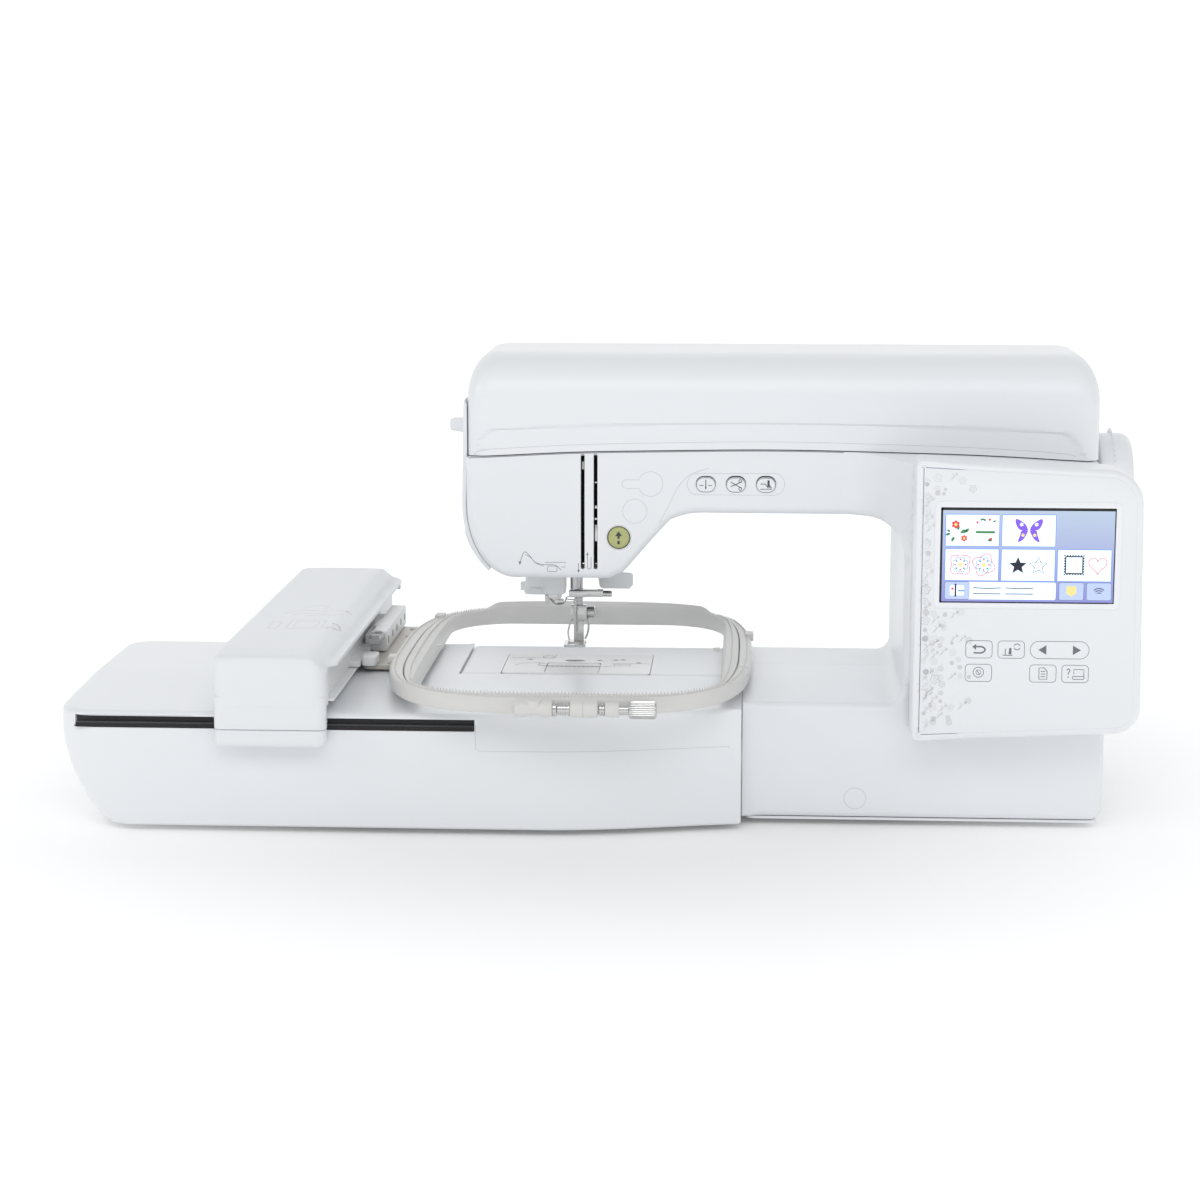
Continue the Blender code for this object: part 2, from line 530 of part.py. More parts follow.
def build():
    clear_scene()
    footprint = bpy.data.objects.new("footprint", None)
    footprint.location = (NEEDLE_X * MM, NEEDLE_Y * MM, 0)
    bpy.context.scene.collection.objects.link(footprint)
    white = finish("white_casing", (0.86, 0.88, 0.90), 0.25, coat=0.4)
    print_white = finish("printed_fascia", (0.84, 0.85, 0.87), 0.2, coat=0.6)
    grey = finish("light_grey_plastic", (0.62, 0.63, 0.64), 0.4)
    hoop_grey = finish("hoop_plastic", (0.66, 0.65, 0.62), 0.38)
    brush = finish("brush_black", (0.02, 0.02, 0.02), 0.9)
    black = finish("black_plastic", (0.03, 0.03, 0.03), 0.45)
    rubber = finish("rubber", (0.05, 0.05, 0.05), 0.8)
    steel = finish("satin_steel", (0.6, 0.6, 0.6), 0.3, 1.0)
    chrome = finish("bright_steel", (0.8, 0.8, 0.8), 0.12, 1.0)
    casting = finish("die_casting", (0.45, 0.46, 0.47), 0.55, 1.0)
    motor_grey = finish("motor_paint", (0.12, 0.12, 0.13), 0.5, 0.3)
    glass = finish("screen_glass", (0.35, 0.45, 0.75), 0.08, coat=1.0)
    clear = finish("smoked_cover", (0.75, 0.77, 0.78), 0.15)
    main_covers(white)
    base_front_cover(white)
    lid(white)
    head_left_side(white, grey)
    bed_parts(white, steel, clear)
    hook_parts(steel, black)
    cast_frame(casting)
    bottom_parts(white, rubber)
    drive_parts(white, steel, black, motor_grey)
    sewing_parts(steel, chrome, grey)
    lamp(clear)
    side_controls(white, grey, black)
    panel_parts(white, print_white, glass)
    under_lid_parts(white, steel)
    unit_casings(white, brush)
    unit_drive(steel)
    carriage_arm(white, steel)
    holder(grey, steel)
    hoop(hoop_grey, chrome)


build()
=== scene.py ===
"""Looks of the embroidery machine: casings, panel, carriage arm, clamped hoop and needle area.

Lengths are millimetres on the bench: the origin is the point on the table right
under the needle, +X to the right, +Y to the back, +Z up. to_frame() turns them
into the metres of the packed frame.
"""
import math
import random

import bmesh
import bpy
from bpy.props import FloatProperty, FloatVectorProperty, PointerProperty
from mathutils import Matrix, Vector
from mathutils.geometry import delaunay_2d_cdt
from mathutils.kdtree import KDTree


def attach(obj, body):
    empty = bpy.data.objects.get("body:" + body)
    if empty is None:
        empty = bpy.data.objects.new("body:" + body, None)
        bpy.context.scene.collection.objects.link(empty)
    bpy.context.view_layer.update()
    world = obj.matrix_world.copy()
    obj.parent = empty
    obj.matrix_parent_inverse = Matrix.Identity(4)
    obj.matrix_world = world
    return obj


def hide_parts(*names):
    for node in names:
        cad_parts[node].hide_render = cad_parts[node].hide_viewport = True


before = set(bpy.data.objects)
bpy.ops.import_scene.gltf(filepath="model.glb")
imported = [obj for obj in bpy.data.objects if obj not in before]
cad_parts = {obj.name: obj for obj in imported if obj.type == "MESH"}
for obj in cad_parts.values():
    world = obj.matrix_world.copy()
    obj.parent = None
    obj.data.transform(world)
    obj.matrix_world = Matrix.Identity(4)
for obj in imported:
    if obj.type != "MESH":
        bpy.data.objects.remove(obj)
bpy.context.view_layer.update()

bl_info = {
    "name": "Embroidery machine looks",
    "version": (1, 0, 0),
    "blender": (4, 5, 0),
    "location": "3D View > Sidebar > Machine",
    "description": "Builds the visible pieces of an embroidery machine over its packed frame",
    "category": "Object",
}

MM = 0.001
NEEDLE = (-24.5, 15.25)                # the needle seen from the middle of the footprint

# Machine
BED_Z, FLOOR_Z, COVER_Z = 84.0, 4.0, 6.0
SEAM_X, RIGHT_X, PILLAR_X, HEAD_LEFT = 115.5, 347.0, 217.5, -68.0
LID_Z, TOP_Z, LID_BAND = 236.6, 299.5, 1.6
BASE_FRONT, HEAD_FRONT, BACK, SPLIT_Y = -119.0, -61.0, 62.0, -1.0
NOSE_LEFT, NOSE_RIGHT, NOSE_Z = -36.0, 32.0, 151.5
UNDERSIDE_Z, SHAFT_Z = 195.5, 212.0
CREASE_Y, SLOPE_DROP = -47.5, 5.0
CREASE_Z = 55.0                        # the front walls lean back above this line
SEAM_ARCH = [(-68, 231.6), (-6, 236.0), (138, 238.6), (281, 235.4), (347, 231.0)]
SLOTS_X = (9.2, 17.7)
START = (33.0, 179.5, 7.2)
BUTTON_Z = 215.0
PILLS = {"needle_button": 90.1, "cutter_button": 109.8, "foot_button": 129.5}

# Embroidery unit, arm and hoop
UNIT_LEFT, UNIT_FRONT, UNIT_BACK, NOTCH_X = -324.5, -156.5, 60.0, -75.5
SLOT = (-310.5, -53.7, 68.5, 76.0)
ARM = (-218.0, -141.0, -172.0, 170.0)
ARM_RIM, ARM_TOP = 86.5, 120.4
HOOP_MIDDLE = (1.3, -20.0)
HOOP_REACH = (120.0, 168.0, 156.0)      # to the sides, the front and the back
HOOP_FULLNESS = 3.2
HOOP_OPENING = (-94.0, 101.0, -171.5, 118.5)
HOOP_Z = (87.5, 97.5)
HOOP_CORNER = 44.0                     # radius of the opening's corners
SCREW_Y, SCREW_Z = -195.0, 92.5

# Panel
PANEL = (222.0, 364.5, 65.0, 243.0)
PANEL_BACK, PANEL_FRONT = -119.4, -152.0
LCD = (237.3, 345.4, 154.0, 214.0)

# Camera, in metres and degrees
LENS_MM, SENSOR_MM, FAR_CLIP = 80.31, 36.0, 20.0
CAMERA_SPOT, CAMERA_DIP, CAMERA_PAN = (0.0955, -1.78875, 0.444), 9.958, 3.264

INK_SUNK = 0.15                        # how far a film of ink reaches below its surface
AXES = {"x": (1, 2, 0), "y": (0, 2, 1), "z": (0, 1, 2)}


# Outlines -----------------------------------------------------------------

def arc(cx, cy, rx, ry, start, end, steps):
    turn = [math.radians(start + (end - start) * i / steps) for i in range(steps + 1)]
    return [(cx + rx * math.cos(t), cy + ry * math.sin(t)) for t in turn]


def circle(cx, cy, r, steps=32):
    return arc(cx, cy, r, r, 0, 360 - 360 / steps, steps - 1)


def rounded(x0, x1, y0, y1, r, steps=6):
    return (arc(x1 - r, y0 + r, r, r, -90, 0, steps) + arc(x1 - r, y1 - r, r, r, 0, 90, steps)
            + arc(x0 + r, y1 - r, r, r, 90, 180, steps) + arc(x0 + r, y0 + r, r, r, 180, 270, steps))


def fine(points, step):
    """The closed outline with extra points, none further apart than step."""
    out = []
    for a, b in zip(points, points[1:] + points[:1]):
        gap = math.dist(a, b)
        if gap < 1e-4:
            continue
        n = max(1, math.ceil(gap / step))
        out += [tuple(p + (q - p) * i / n for p, q in zip(a, b)) for i in range(n)]
    return out


def inset(outline, depth):
    """An anticlockwise outline moved inwards by depth, or by depth(u, v)."""
    moved = []
    for i, point in enumerate(outline):
        here = Vector(point)
        before = (here - Vector(outline[i - 1])).normalized()
        after = (Vector(outline[(i + 1) % len(outline)]) - here).normalized()
        side = Vector((-before.y, before.x))
        normal = (side + Vector((-after.y, after.x))).normalized()
        amount = depth(*point) if callable(depth) else depth
        moved.append(tuple(here + normal * amount / max(0.5, normal.dot(side))))
    return moved


def ease(t):
    """A smooth step from 0 to 1."""
    t = min(1.0, max(0.0, t))
    return t * t * (3 - 2 * t)


def graph(points, x):
    """A smooth height read between listed (x, value) points."""
    if x <= points[0][0]:
        return points[0][1]
    for (x0, v0), (x1, v1) in zip(points, points[1:]):
        if x <= x1:
            return v0 + (v1 - v0) * (x - x0) / (x1 - x0)
    return points[-1][1]


def inside(outline, u, v):
    """Whether a point lies inside an outline."""
    hit = False
    for (u0, v0), (u1, v1) in zip(outline, outline[1:] + outline[:1]):
        if (v0 > v) != (v1 > v) and u < (u1 - u0) * (v - v0) / (v1 - v0) + u0:
            hit = not hit
    return hit


def to_space(axis, u, v, w):
    """A point of the bench from two places across an axis and one along it."""
    point = [0.0, 0.0, 0.0]
    first, second, third = AXES[axis]
    point[first], point[second], point[third] = u, v, w
    return Vector(point)


def to_frame(point):
    """A bench point in millimetres as a point of the packed frame in metres."""
    return Vector(((point[0] + NEEDLE[0]) * MM, (point[1] + NEEDLE[1]) * MM, point[2] * MM))


def add_object(obj):
    bpy.context.scene.collection.objects.link(obj)


# Skins --------------------------------------------------------------------

def bridge(bm, low, high):
    """Joins two rings of vertices with quads."""
    for i in range(len(low)):
        j = (i + 1) % len(low)
        bm.faces.new((low[i], low[j], high[j], high[i]))


def cap(bm, loop, flat, axis, height, step, holes=()):
    """Closes a loop of vertices with a net of triangles that follows height(u, v)."""
    points = [Vector(p) for p in flat]
    edges = [(i, (i + 1) % len(flat)) for i in range(len(flat))]
    for hole in holes:
        start = len(points)
        points += [Vector(p) for p in hole]
        edges += [(start + i, start + (i + 1) % len(hole)) for i in range(len(hole))]
    near = KDTree(len(points))
    for i, p in enumerate(points):
        near.insert((p.x, p.y, 0), i)
    near.balance()
    low = [min(p[k] for p in flat) for k in (0, 1)]
    high = [max(p[k] for p in flat) for k in (0, 1)]
    rows = int((high[1] - low[1]) / (0.87 * step))
    for row in range(1, rows + 1):
        v = low[1] + row * 0.87 * step
        u = low[0] + step * (0.5 if row % 2 else 1.0)
        while u < high[0]:
            if near.find((u, v, 0))[2] > 0.6 * step and inside(flat, u, v):
                if not any(inside(hole, u, v) for hole in holes):
                    points.append(Vector((u, v)))
            u += step
    verts, _, faces, origins, _, _ = delaunay_2d_cdt(points, edges, [], 1, 1e-5)
    made = []
    for spot, origin in zip(verts, origins):
        known = [i for i in origin if i < len(flat)]
        made.append(loop[known[0]] if known
                    else bm.verts.new(to_space(axis, spot.x, spot.y, height(spot.x, spot.y))))
    for face in faces:
        middle = sum((verts[i] for i in face), Vector((0, 0))) / len(face)
        if inside(flat, *middle) and not any(inside(hole, *middle) for hole in holes):
            corners = [made[i] for i in face]
            if len(set(corners)) == len(corners):
                bm.faces.new(corners)


def relief(outline, axis, height, back, radius, step, towards=-1, holes=(), walls=(), steps=6):
    """An open skin: a face at height(u, v), rounded edges and walls that run back to a plane."""
    bm = bmesh.new()
    radius_at = radius if callable(radius) else (lambda u, v: radius)

    def front(u, v):
        return height(u, v) - towards * radius_at(u, v)

    loops = [[bm.verts.new(to_space(axis, u, v, back)) for u, v in outline]]
    for wall in walls:
        loops.append([bm.verts.new(to_space(axis, u, v, wall(front(u, v)))) for u, v in outline])
    for k in range(steps + 1):
        turn = math.pi / 2 * k / steps
        edge = inset(outline, lambda u, v: radius_at(u, v) * (1 - math.cos(turn)))
        loops.append([bm.verts.new(to_space(axis, u, v, height(u, v)
                                            - towards * radius_at(*was) * (1 - math.sin(turn))))
                      for (u, v), was in zip(edge, outline)])
    for low, high in zip(loops, loops[1:]):
        bridge(bm, low, high)
    cap(bm, loops[-1], edge, axis, height, step, holes)
    return bm


def loft(rings, closed=False):
    """A skin through rings of equal length, in bench coordinates."""
    bm = bmesh.new()
    add_loft(bm, rings, closed)
    return bm


def add_loft(bm, rings, closed=False):
    layers = [[bm.verts.new(p) for p in ring] for ring in rings]
    for low, high in zip(layers, layers[1:] + layers[:1] if closed else layers[1:]):
        bridge(bm, low, high)
    if not closed:
        bm.faces.new(layers[0])
        bm.faces.new(layers[-1])


def add_prism(bm, outline, axis, low, high, edge=0.5, steps=3):
    """A plate with softly rounded rims."""
    rings = []
    for k in range(steps + 1):
        turn = math.pi / 2 * k / steps
        rim = inset(outline, edge * (1 - math.sin(turn)))
        rings.append([to_space(axis, u, v, low + edge * (1 - math.cos(turn))) for u, v in rim])
    for k in range(steps + 1):
        turn = math.pi / 2 * (1 - k / steps)
        rim = inset(outline, edge * (1 - math.sin(turn)))
        rings.append([to_space(axis, u, v, high - edge * (1 - math.cos(turn))) for u, v in rim])
    add_loft(bm, rings)


def add_box(bm, x0, x1, y0, y1, z0, z1, edge=0.5):
    add_prism(bm, [(x0, y0), (x1, y0), (x1, y1), (x0, y1)], "z", z0, z1, edge)


def add_turned(bm, axis, centre, profile, sides=32):
    """A solid of revolution: profile holds (place along the axis, radius)."""
    add_loft(bm, [[to_space(axis, u, v, w) for u, v in circle(*centre, max(r, 0.02), sides)]
                  for w, r in profile])


def add_tube(bm, path, radius, sides=10):
    """A round bar along a path of bench points, narrowing where radius is a list."""
    rings = []
    for i, point in enumerate(path):
        here = Vector(point)
        ahead = Vector(path[min(i + 1, len(path) - 1)]) - Vector(path[max(i - 1, 0)])
        ahead.normalize()
        side = ahead.cross(Vector((0.05, 0.11, 1.0)) if abs(ahead.z) < 0.95 else Vector((1, 0, 0)))
        side.normalize()
        up = side.cross(ahead)
        r = radius[i] if isinstance(radius, (list, tuple)) else radius
        rings.append([here + side * r * math.cos(a) + up * r * math.sin(a)
                      for a in (2 * math.pi * k / sides for k in range(sides))])
    add_loft(bm, rings)


# Pieces -------------------------------------------------------------------

def sizes():
    return bpy.context.scene.machine_sizes


def piece(name, bm, finish, body="machine", stands_for=(), crease=38, wall=0.0,
          bend=None):
    """Turns bench geometry into a finished piece that rides on a body."""
    for vert in bm.verts:
        if bend:
            vert.co = bend(vert.co)
        vert.co = to_frame(vert.co)
    bmesh.ops.remove_doubles(bm, verts=bm.verts, dist=1e-7)
    bmesh.ops.recalc_face_normals(bm, faces=bm.faces)
    mesh = bpy.data.meshes.new(name)
    bm.to_mesh(mesh)
    bm.free()
    obj = bpy.data.objects.new(name, mesh)
    add_object(obj)
    mesh.materials.append(F[finish])
    if wall:
        shell = obj.modifiers.new("wall", "SOLIDIFY")
        shell.thickness = wall * MM
        shell.offset = -1.0
        shell.use_even_offset = False
        obj = baked(obj)
    obj.data.shade_smooth()
    obj.data.set_sharp_from_angle(angle=math.radians(crease))
    settle(obj, body, stands_for)
    return obj


def baked(obj):
    """The object with its modifiers turned into plain mesh."""
    graph_now = bpy.context.evaluated_depsgraph_get()
    mesh = bpy.data.meshes.new_from_object(obj.evaluated_get(graph_now))
    obj.modifiers.clear()
    if obj.type == "MESH":
        old = obj.data
        obj.data = mesh
        bpy.data.meshes.remove(old)
        return obj
    name = obj.name
    bpy.data.objects.remove(obj, do_unlink=True)
    made = bpy.data.objects.new(name, mesh)
    add_object(made)
    return made


def settle(obj, body, stands_for=()):
    """Says which body a piece rides on, what it stands for and its material slot."""
    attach(obj, body)
    if stands_for:
        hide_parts(*([stands_for] if isinstance(stands_for, str) else stands_for))


def carve(obj, *boxes):
    """Cuts bench boxes (x0, x1, y0, y1, z0, z1), or made cutters, out of a closed piece."""
    for box in boxes:
        if isinstance(box, tuple):
            bm = bmesh.new()
            corners = [(box[0], box[2]), (box[1], box[2]), (box[1], box[3]), (box[0], box[3])]
            add_loft(bm, [[(x, y, z) for x, y in corners] for z in box[4:]])
        else:
            bm = box
        for vert in bm.verts:
            vert.co = to_frame(vert.co)
        bmesh.ops.recalc_face_normals(bm, faces=bm.faces)
        mesh = bpy.data.meshes.new("cutter")
        bm.to_mesh(mesh)
        bm.free()
        tool = bpy.data.objects.new("cutter", mesh)
        add_object(tool)
        modifier = obj.modifiers.new("cut", "BOOLEAN")
        modifier.operation = "DIFFERENCE"
        modifier.solver = "EXACT"
        modifier.object = tool
        baked(obj)
        bpy.data.objects.remove(tool, do_unlink=True)
        bpy.data.meshes.remove(mesh)
    obj.data.shade_smooth()
    obj.data.set_sharp_from_angle(angle=math.radians(38))
    return obj


# Ink: printed lines, and painted shade along seams and grooves, as thin films laid on a surface ------------

def add_line(bm, lay, points, width, closed=False, film=0.06):
    """A ribbon of ink along (u, v) points; lay(u, v, lift) gives the bench point."""
    if len(points) < 2:
        return
    n = len(points)
    sides = []
    for i, point in enumerate(points):
        before = Vector(points[i - 1]) if closed or i else None
        after = Vector(points[(i + 1) % n]) if closed or i < n - 1 else None
        here = Vector(point)
        ahead = (after if after is not None else here) - (before if before is not None else here)
        ahead.normalize()
        half = Vector((-ahead.y, ahead.x)) * width / 2
        sides.append((here + half, here - half))
    rings = [[lay(*a, film), lay(*b, film), lay(*b, -INK_SUNK), lay(*a, -INK_SUNK)] for a, b in sides]
    add_loft(bm, rings, closed=closed)


def add_fill(bm, lay, points, film=0.05):
    """A filled patch of ink inside (u, v) points."""
    flat = [Vector(p) for p in points]
    edges = [(i, (i + 1) % len(flat)) for i in range(len(flat))]
    verts, _, faces, _, _, _ = delaunay_2d_cdt(flat, edges, [], 1, 1e-5)
    top = [bm.verts.new(lay(v.x, v.y, film)) for v in verts]
    low = [bm.verts.new(lay(v.x, v.y, -INK_SUNK)) for v in verts]
    uses = {}
    for face in faces:
        middle = sum((verts[i] for i in face), Vector((0, 0))) / len(face)
        if not inside(points, *middle):
            continue
        bm.faces.new([top[i] for i in face])
        bm.faces.new([low[i] for i in reversed(face)])
        for a, b in zip(face, face[1:] + face[:1]):
            uses[(a, b)] = True
    for a, b in uses:
        if (b, a) not in uses:
            bm.faces.new((top[a], low[a], low[b], top[b]))


def flower(cx, cy, r, petals=5, dip=0.32, steps=8, turn=0.0):
    count = petals * steps
    return [(cx + r * (1 - dip * (0.5 + 0.5 * math.cos(petals * 2 * math.pi * i / count))) *
             math.cos(2 * math.pi * i / count + turn),
             cy + r * (1 - dip * (0.5 + 0.5 * math.cos(petals * 2 * math.pi * i / count))) *
             math.sin(2 * math.pi * i / count + turn)) for i in range(count)]


def leaf(x, y, length, width, angle, steps=7):
    a = math.radians(angle)
    along = [(length * i / steps,
              width / 2 * math.sin(math.pi * i / steps) ** 0.8) for i in range(steps + 1)]
    shape = along + [(u, -v) for u, v in along[-2:0:-1]]
    return [(x + u * math.cos(a) - v * math.sin(a), y + u * math.sin(a) + v * math.cos(a)) for u,
            v in shape]


def wave(points, steps=8):
    """A smooth line through a few points."""
    out = []
    for i in range(len(points) - 1):
        p0, p1 = Vector(points[max(i - 1, 0)]), Vector(points[i])
        p2, p3 = Vector(points[i + 1]), Vector(points[min(i + 2, len(points) - 1)])
        for k in range(steps):
            t = k / steps
            out.append(tuple(0.5 * ((2 * p1) + (p2 - p0) * t + (2 * p0 - 5 * p1 + 4 * p2 - p3) * t * t
                                    + (3 * p1 - p0 - 3 * p2 + p3) * t ** 3)))
    return out + [tuple(points[-1])]


# Repeats: one tree lays a small bar at even steps along a path ---------------

def repeat_tree():
    tree = bpy.data.node_groups.new("even_bars", "GeometryNodeTree")
    face = tree.interface
    face.new_socket("Path", in_out="INPUT", socket_type="NodeSocketGeometry")
    for label in ("Pitch", "Lean", "Bar Taper"):
        face.new_socket(label, in_out="INPUT", socket_type="NodeSocketFloat")
    face.new_socket("Bar Size", in_out="INPUT", socket_type="NodeSocketVector")
    face.new_socket("Seed", in_out="INPUT", socket_type="NodeSocketInt")
    face.new_socket("Finish", in_out="INPUT", socket_type="NodeSocketMaterial")
    face.new_socket("Bars", in_out="OUTPUT", socket_type="NodeSocketGeometry")
    make, join = tree.nodes.new, tree.links.new
    inputs = make("NodeGroupInput").outputs
    spots = make("GeometryNodeCurveToPoints")
    spots.mode = "LENGTH"
    join(inputs["Path"], spots.inputs["Curve"])
    join(inputs["Pitch"], spots.inputs["Length"])
    bar = make("GeometryNodeMeshCone")
    bar.inputs["Vertices"].default_value = 6
    bar.inputs["Radius Bottom"].default_value = 0.5
    bar.inputs["Depth"].default_value = 1.0
    join(inputs["Bar Taper"], bar.inputs["Radius Top"])
    middle = make("GeometryNodeTransform")
    middle.inputs["Translation"].default_value = (0, 0, -0.5)
    join(bar.outputs["Mesh"], middle.inputs["Geometry"])
    sway = make("FunctionNodeRandomValue")
    sway.data_type = "FLOAT_VECTOR"
    flip = make("ShaderNodeMath")
    flip.operation = "MULTIPLY"
    flip.inputs[1].default_value = -1.0
    low, high = make("ShaderNodeCombineXYZ"), make("ShaderNodeCombineXYZ")
    join(inputs["Lean"], flip.inputs[0])
    for i in range(3):
        join(flip.outputs[0], low.inputs[i])
        join(inputs["Lean"], high.inputs[i])
    join(low.outputs[0], sway.inputs["Min"])
    join(high.outputs[0], sway.inputs["Max"])
    join(inputs["Seed"], sway.inputs["Seed"])
    spin = make("FunctionNodeRotateRotation")
    spin.rotation_space = "LOCAL"
    join(spots.outputs["Rotation"], spin.inputs["Rotation"])
    join(sway.outputs["Value"], spin.inputs["Rotate By"])
    copies = make("GeometryNodeInstanceOnPoints")
    join(spots.outputs["Points"], copies.inputs["Points"])
    join(middle.outputs["Geometry"], copies.inputs["Instance"])
    join(spin.outputs["Rotation"], copies.inputs["Rotation"])
    join(inputs["Bar Size"], copies.inputs["Scale"])
    whole = make("GeometryNodeRealizeInstances")
    join(copies.outputs["Instances"], whole.inputs["Geometry"])
    paint = make("GeometryNodeSetMaterial")
    join(whole.outputs["Geometry"], paint.inputs["Geometry"])
    join(inputs["Finish"], paint.inputs["Material"])
    smooth = make("NodeGroupOutput")
    join(paint.outputs["Geometry"], smooth.inputs["Bars"])
    return tree


def bars(name, path, pitch, size, finish, closed=True, taper=0.42, lean=0.0, seed=4, body="machine"):
    """Small bars at even steps along a path, made one plain mesh.

    size is (across the path, along the path's own normal, depth) of each bar in millimetres.
    """
    data = bpy.data.curves.new(name, "CURVE")
    data.dimensions = "3D"
    spline = data.splines.new("POLY")
    spline.points.add(len(path) - 1)
    spline.use_cyclic_u = closed
    for spot, point in zip(spline.points, path):
        spot.co = (*to_frame(point), 1)
    obj = bpy.data.objects.new(name, data)
    add_object(obj)
    modifier = obj.modifiers.new("bars", "NODES")
    modifier.node_group = TREES["bars"]
    values = {"Pitch": pitch * MM, "Lean": lean, "Bar Taper": taper, "Bar Size": [s * MM for s in size],
              "Seed": seed, "Finish": F[finish]}
    for item in TREES["bars"].interface.items_tree:
        if item.in_out == "INPUT" and item.name in values:
            modifier[item.identifier] = values[item.name]
    obj = baked(obj)
    obj.data.shade_smooth()
    obj.data.set_sharp_from_angle(angle=math.radians(40))
    settle(obj, body)
    return obj


TREES = {}


# Finishes -----------------------------------------------------------------

class Wire:
    """A node output that takes part in sums, so that shader maths reads as plain Python."""

    def __init__(self, shop, socket):
        self.shop, self.socket = shop, socket

    def sum_with(self, kind, other, swapped=False):
        first, second = (other, self) if swapped else (self, other)
        return self.shop.node("ShaderNodeMath", {"operation": kind}, {0: first, 1: second})

    def __add__(self, other):
        return self.sum_with("ADD", other)

    def __sub__(self, other):
        return self.sum_with("SUBTRACT", other)

    def __rsub__(self, other):
        return self.sum_with("SUBTRACT", other, True)

    def __mul__(self, other):
        return self.sum_with("MULTIPLY", other)

    __radd__, __rmul__ = __add__, __mul__


class Finish:
    """One material: a Principled shader and the nodes that shape it."""

    def __init__(self, name, colour, roughness, **fixed):
        self.material = bpy.data.materials.new(name)
        self.material.use_nodes = True
        self.tree = self.material.node_tree
        self.shader = self.tree.nodes["Principled BSDF"]
        self.colour, self.roughness = tuple(colour), roughness
        self.set("Base Color", (*colour, 1.0))
        self.set("Roughness", roughness)
        for label, value in fixed.items():
            self.set(label.replace("_", " ").title().replace("Ior", "IOR"), value)
        self.here = self.node("ShaderNodeTexCoord", out="Object")

    def set(self, label, value):
        self.plug(self.shader.inputs[label], value)

    def plug(self, socket, value):
        if isinstance(value, Wire):
            self.tree.links.new(value.socket, socket)
        else:
            socket.default_value = value

    def node(self, kind, settings=None, sockets=None, out=0):
        node = self.tree.nodes.new(kind)
        for key, value in (settings or {}).items():
            if key == "stops":
                for stop, (place, colour) in zip(node.color_ramp.elements, value):
                    stop.position, stop.color = place, (*colour, 1.0)
            else:
                setattr(node, key, value)
        for key, value in (sockets or {}).items():
            self.plug(node.inputs[key], value)
        return Wire(self, node.outputs[out])

    def noise(self, scale, detail=2.0, stretch=(1, 1, 1)):
        """Cloudy 0 to 1 pattern, scale in features per metre, drawn out along an axis."""
        spot = self.node("ShaderNodeMapping", None, {"Vector": self.here, "Scale": stretch})
        return self.node("ShaderNodeTexNoise", None, {"Vector": spot, "Scale": scale, "Detail": detail})

    def tint(self, mask, other):
        """The finish's colour shifted to another colour where the mask is 1."""
        mix = self.node("ShaderNodeMix", {"data_type": "RGBA"},
                        {0: mask, 6: (*self.colour, 1.0), 7: (*other, 1.0)}, out=2)
        self.set("Base Color", mix)

    def wear(self, mask, spread):
        """Roughness that drifts by plus or minus half the spread."""
        self.set("Roughness", (mask - 0.5) * spread + self.roughness)

    def bump(self, height, depth):
        """Relief of a depth in metres."""
        self.set("Normal", self.node("ShaderNodeBump", None,
                                     {"Height": height, "Distance": depth, "Strength": 1.0}))


def shade(colour, amount):
    return tuple(min(1.0, c * amount) for c in colour)


def moulded(name, colour, roughness, orange_peel=0.000001, **fixed):
    """Injection-moulded plastic: a faint skin texture and clouded gloss."""
    made = Finish(name, colour, roughness, **fixed)
    clouds = made.noise(9.0, 3.0)
    made.tint(clouds, shade(colour, 0.985))
    made.wear(made.noise(25.0, 1.0), 0.02)
    made.bump(made.noise(420.0, 1.0), orange_peel)
    return made.material


def spark_textured(name, colour, roughness, **fixed):
    """Plastic from an eroded mould: a fine matt grain of pits."""
    made = Finish(name, colour, roughness, **fixed)
    pits = made.node("ShaderNodeTexVoronoi", None, {"Vector": made.here, "Scale": 1900.0})
    made.tint(made.noise(40.0, 3.0), shade(colour, 0.93))
    made.wear(made.noise(300.0, 2.0), 0.12)
    made.bump(pits + made.noise(900.0, 2.0) * 0.6, 0.00003)
    return made.material


def brushed(name, colour, roughness, along=(1, 1, 40), metallic=1.0):
    """Ground steel: fine scratches drawn along one axis."""
    made = Finish(name, colour, roughness, metallic=metallic)
    scratch = made.noise(500.0, 3.0, along)
    made.tint(scratch, shade(colour, 0.86))
    made.wear(scratch, 0.2)
    made.bump(scratch, 0.000006)
    return made.material


def polished(name, colour, roughness):
    """Nickel plate: bright, with faint fingerprints of uneven gloss."""
    made = Finish(name, colour, roughness, metallic=1.0)
    haze = made.noise(220.0, 4.0)
    made.tint(haze, shade(colour, 0.9))
    made.wear(haze, 0.1)
    made.bump(made.noise(90.0, 2.0), 0.00001)
    return made.material


def cast(name, colour):
    """Sand-blasted die casting."""
    made = Finish(name, colour, 0.55, metallic=0.9)
    grit = made.noise(1100.0, 4.0)
    made.tint(made.noise(30.0, 4.0), shade(colour, 0.8))
    made.wear(grit, 0.2)
    made.bump(grit, 0.00006)
    return made.material


def felted(name, colour):
    """Short black pile."""
    made = Finish(name, colour, 0.95, sheen_weight=0.3)
    tufts = made.noise(1500.0, 4.0)
    made.tint(tufts, shade(colour, 2.2))
    made.wear(tufts, 0.1)
    made.bump(tufts, 0.0003)
    return made.material


def clear(name, colour, roughness, weight):
    """Clear or frosted plastic that lets part of the light through."""
    made = Finish(name, colour, roughness, ior=1.49, transmission_weight=weight)
    haze = made.noise(400.0, 2.0)
    made.tint(haze, shade(colour, 0.95))
    made.wear(haze, 0.08)
    made.bump(haze, 0.00001)
    return made.material


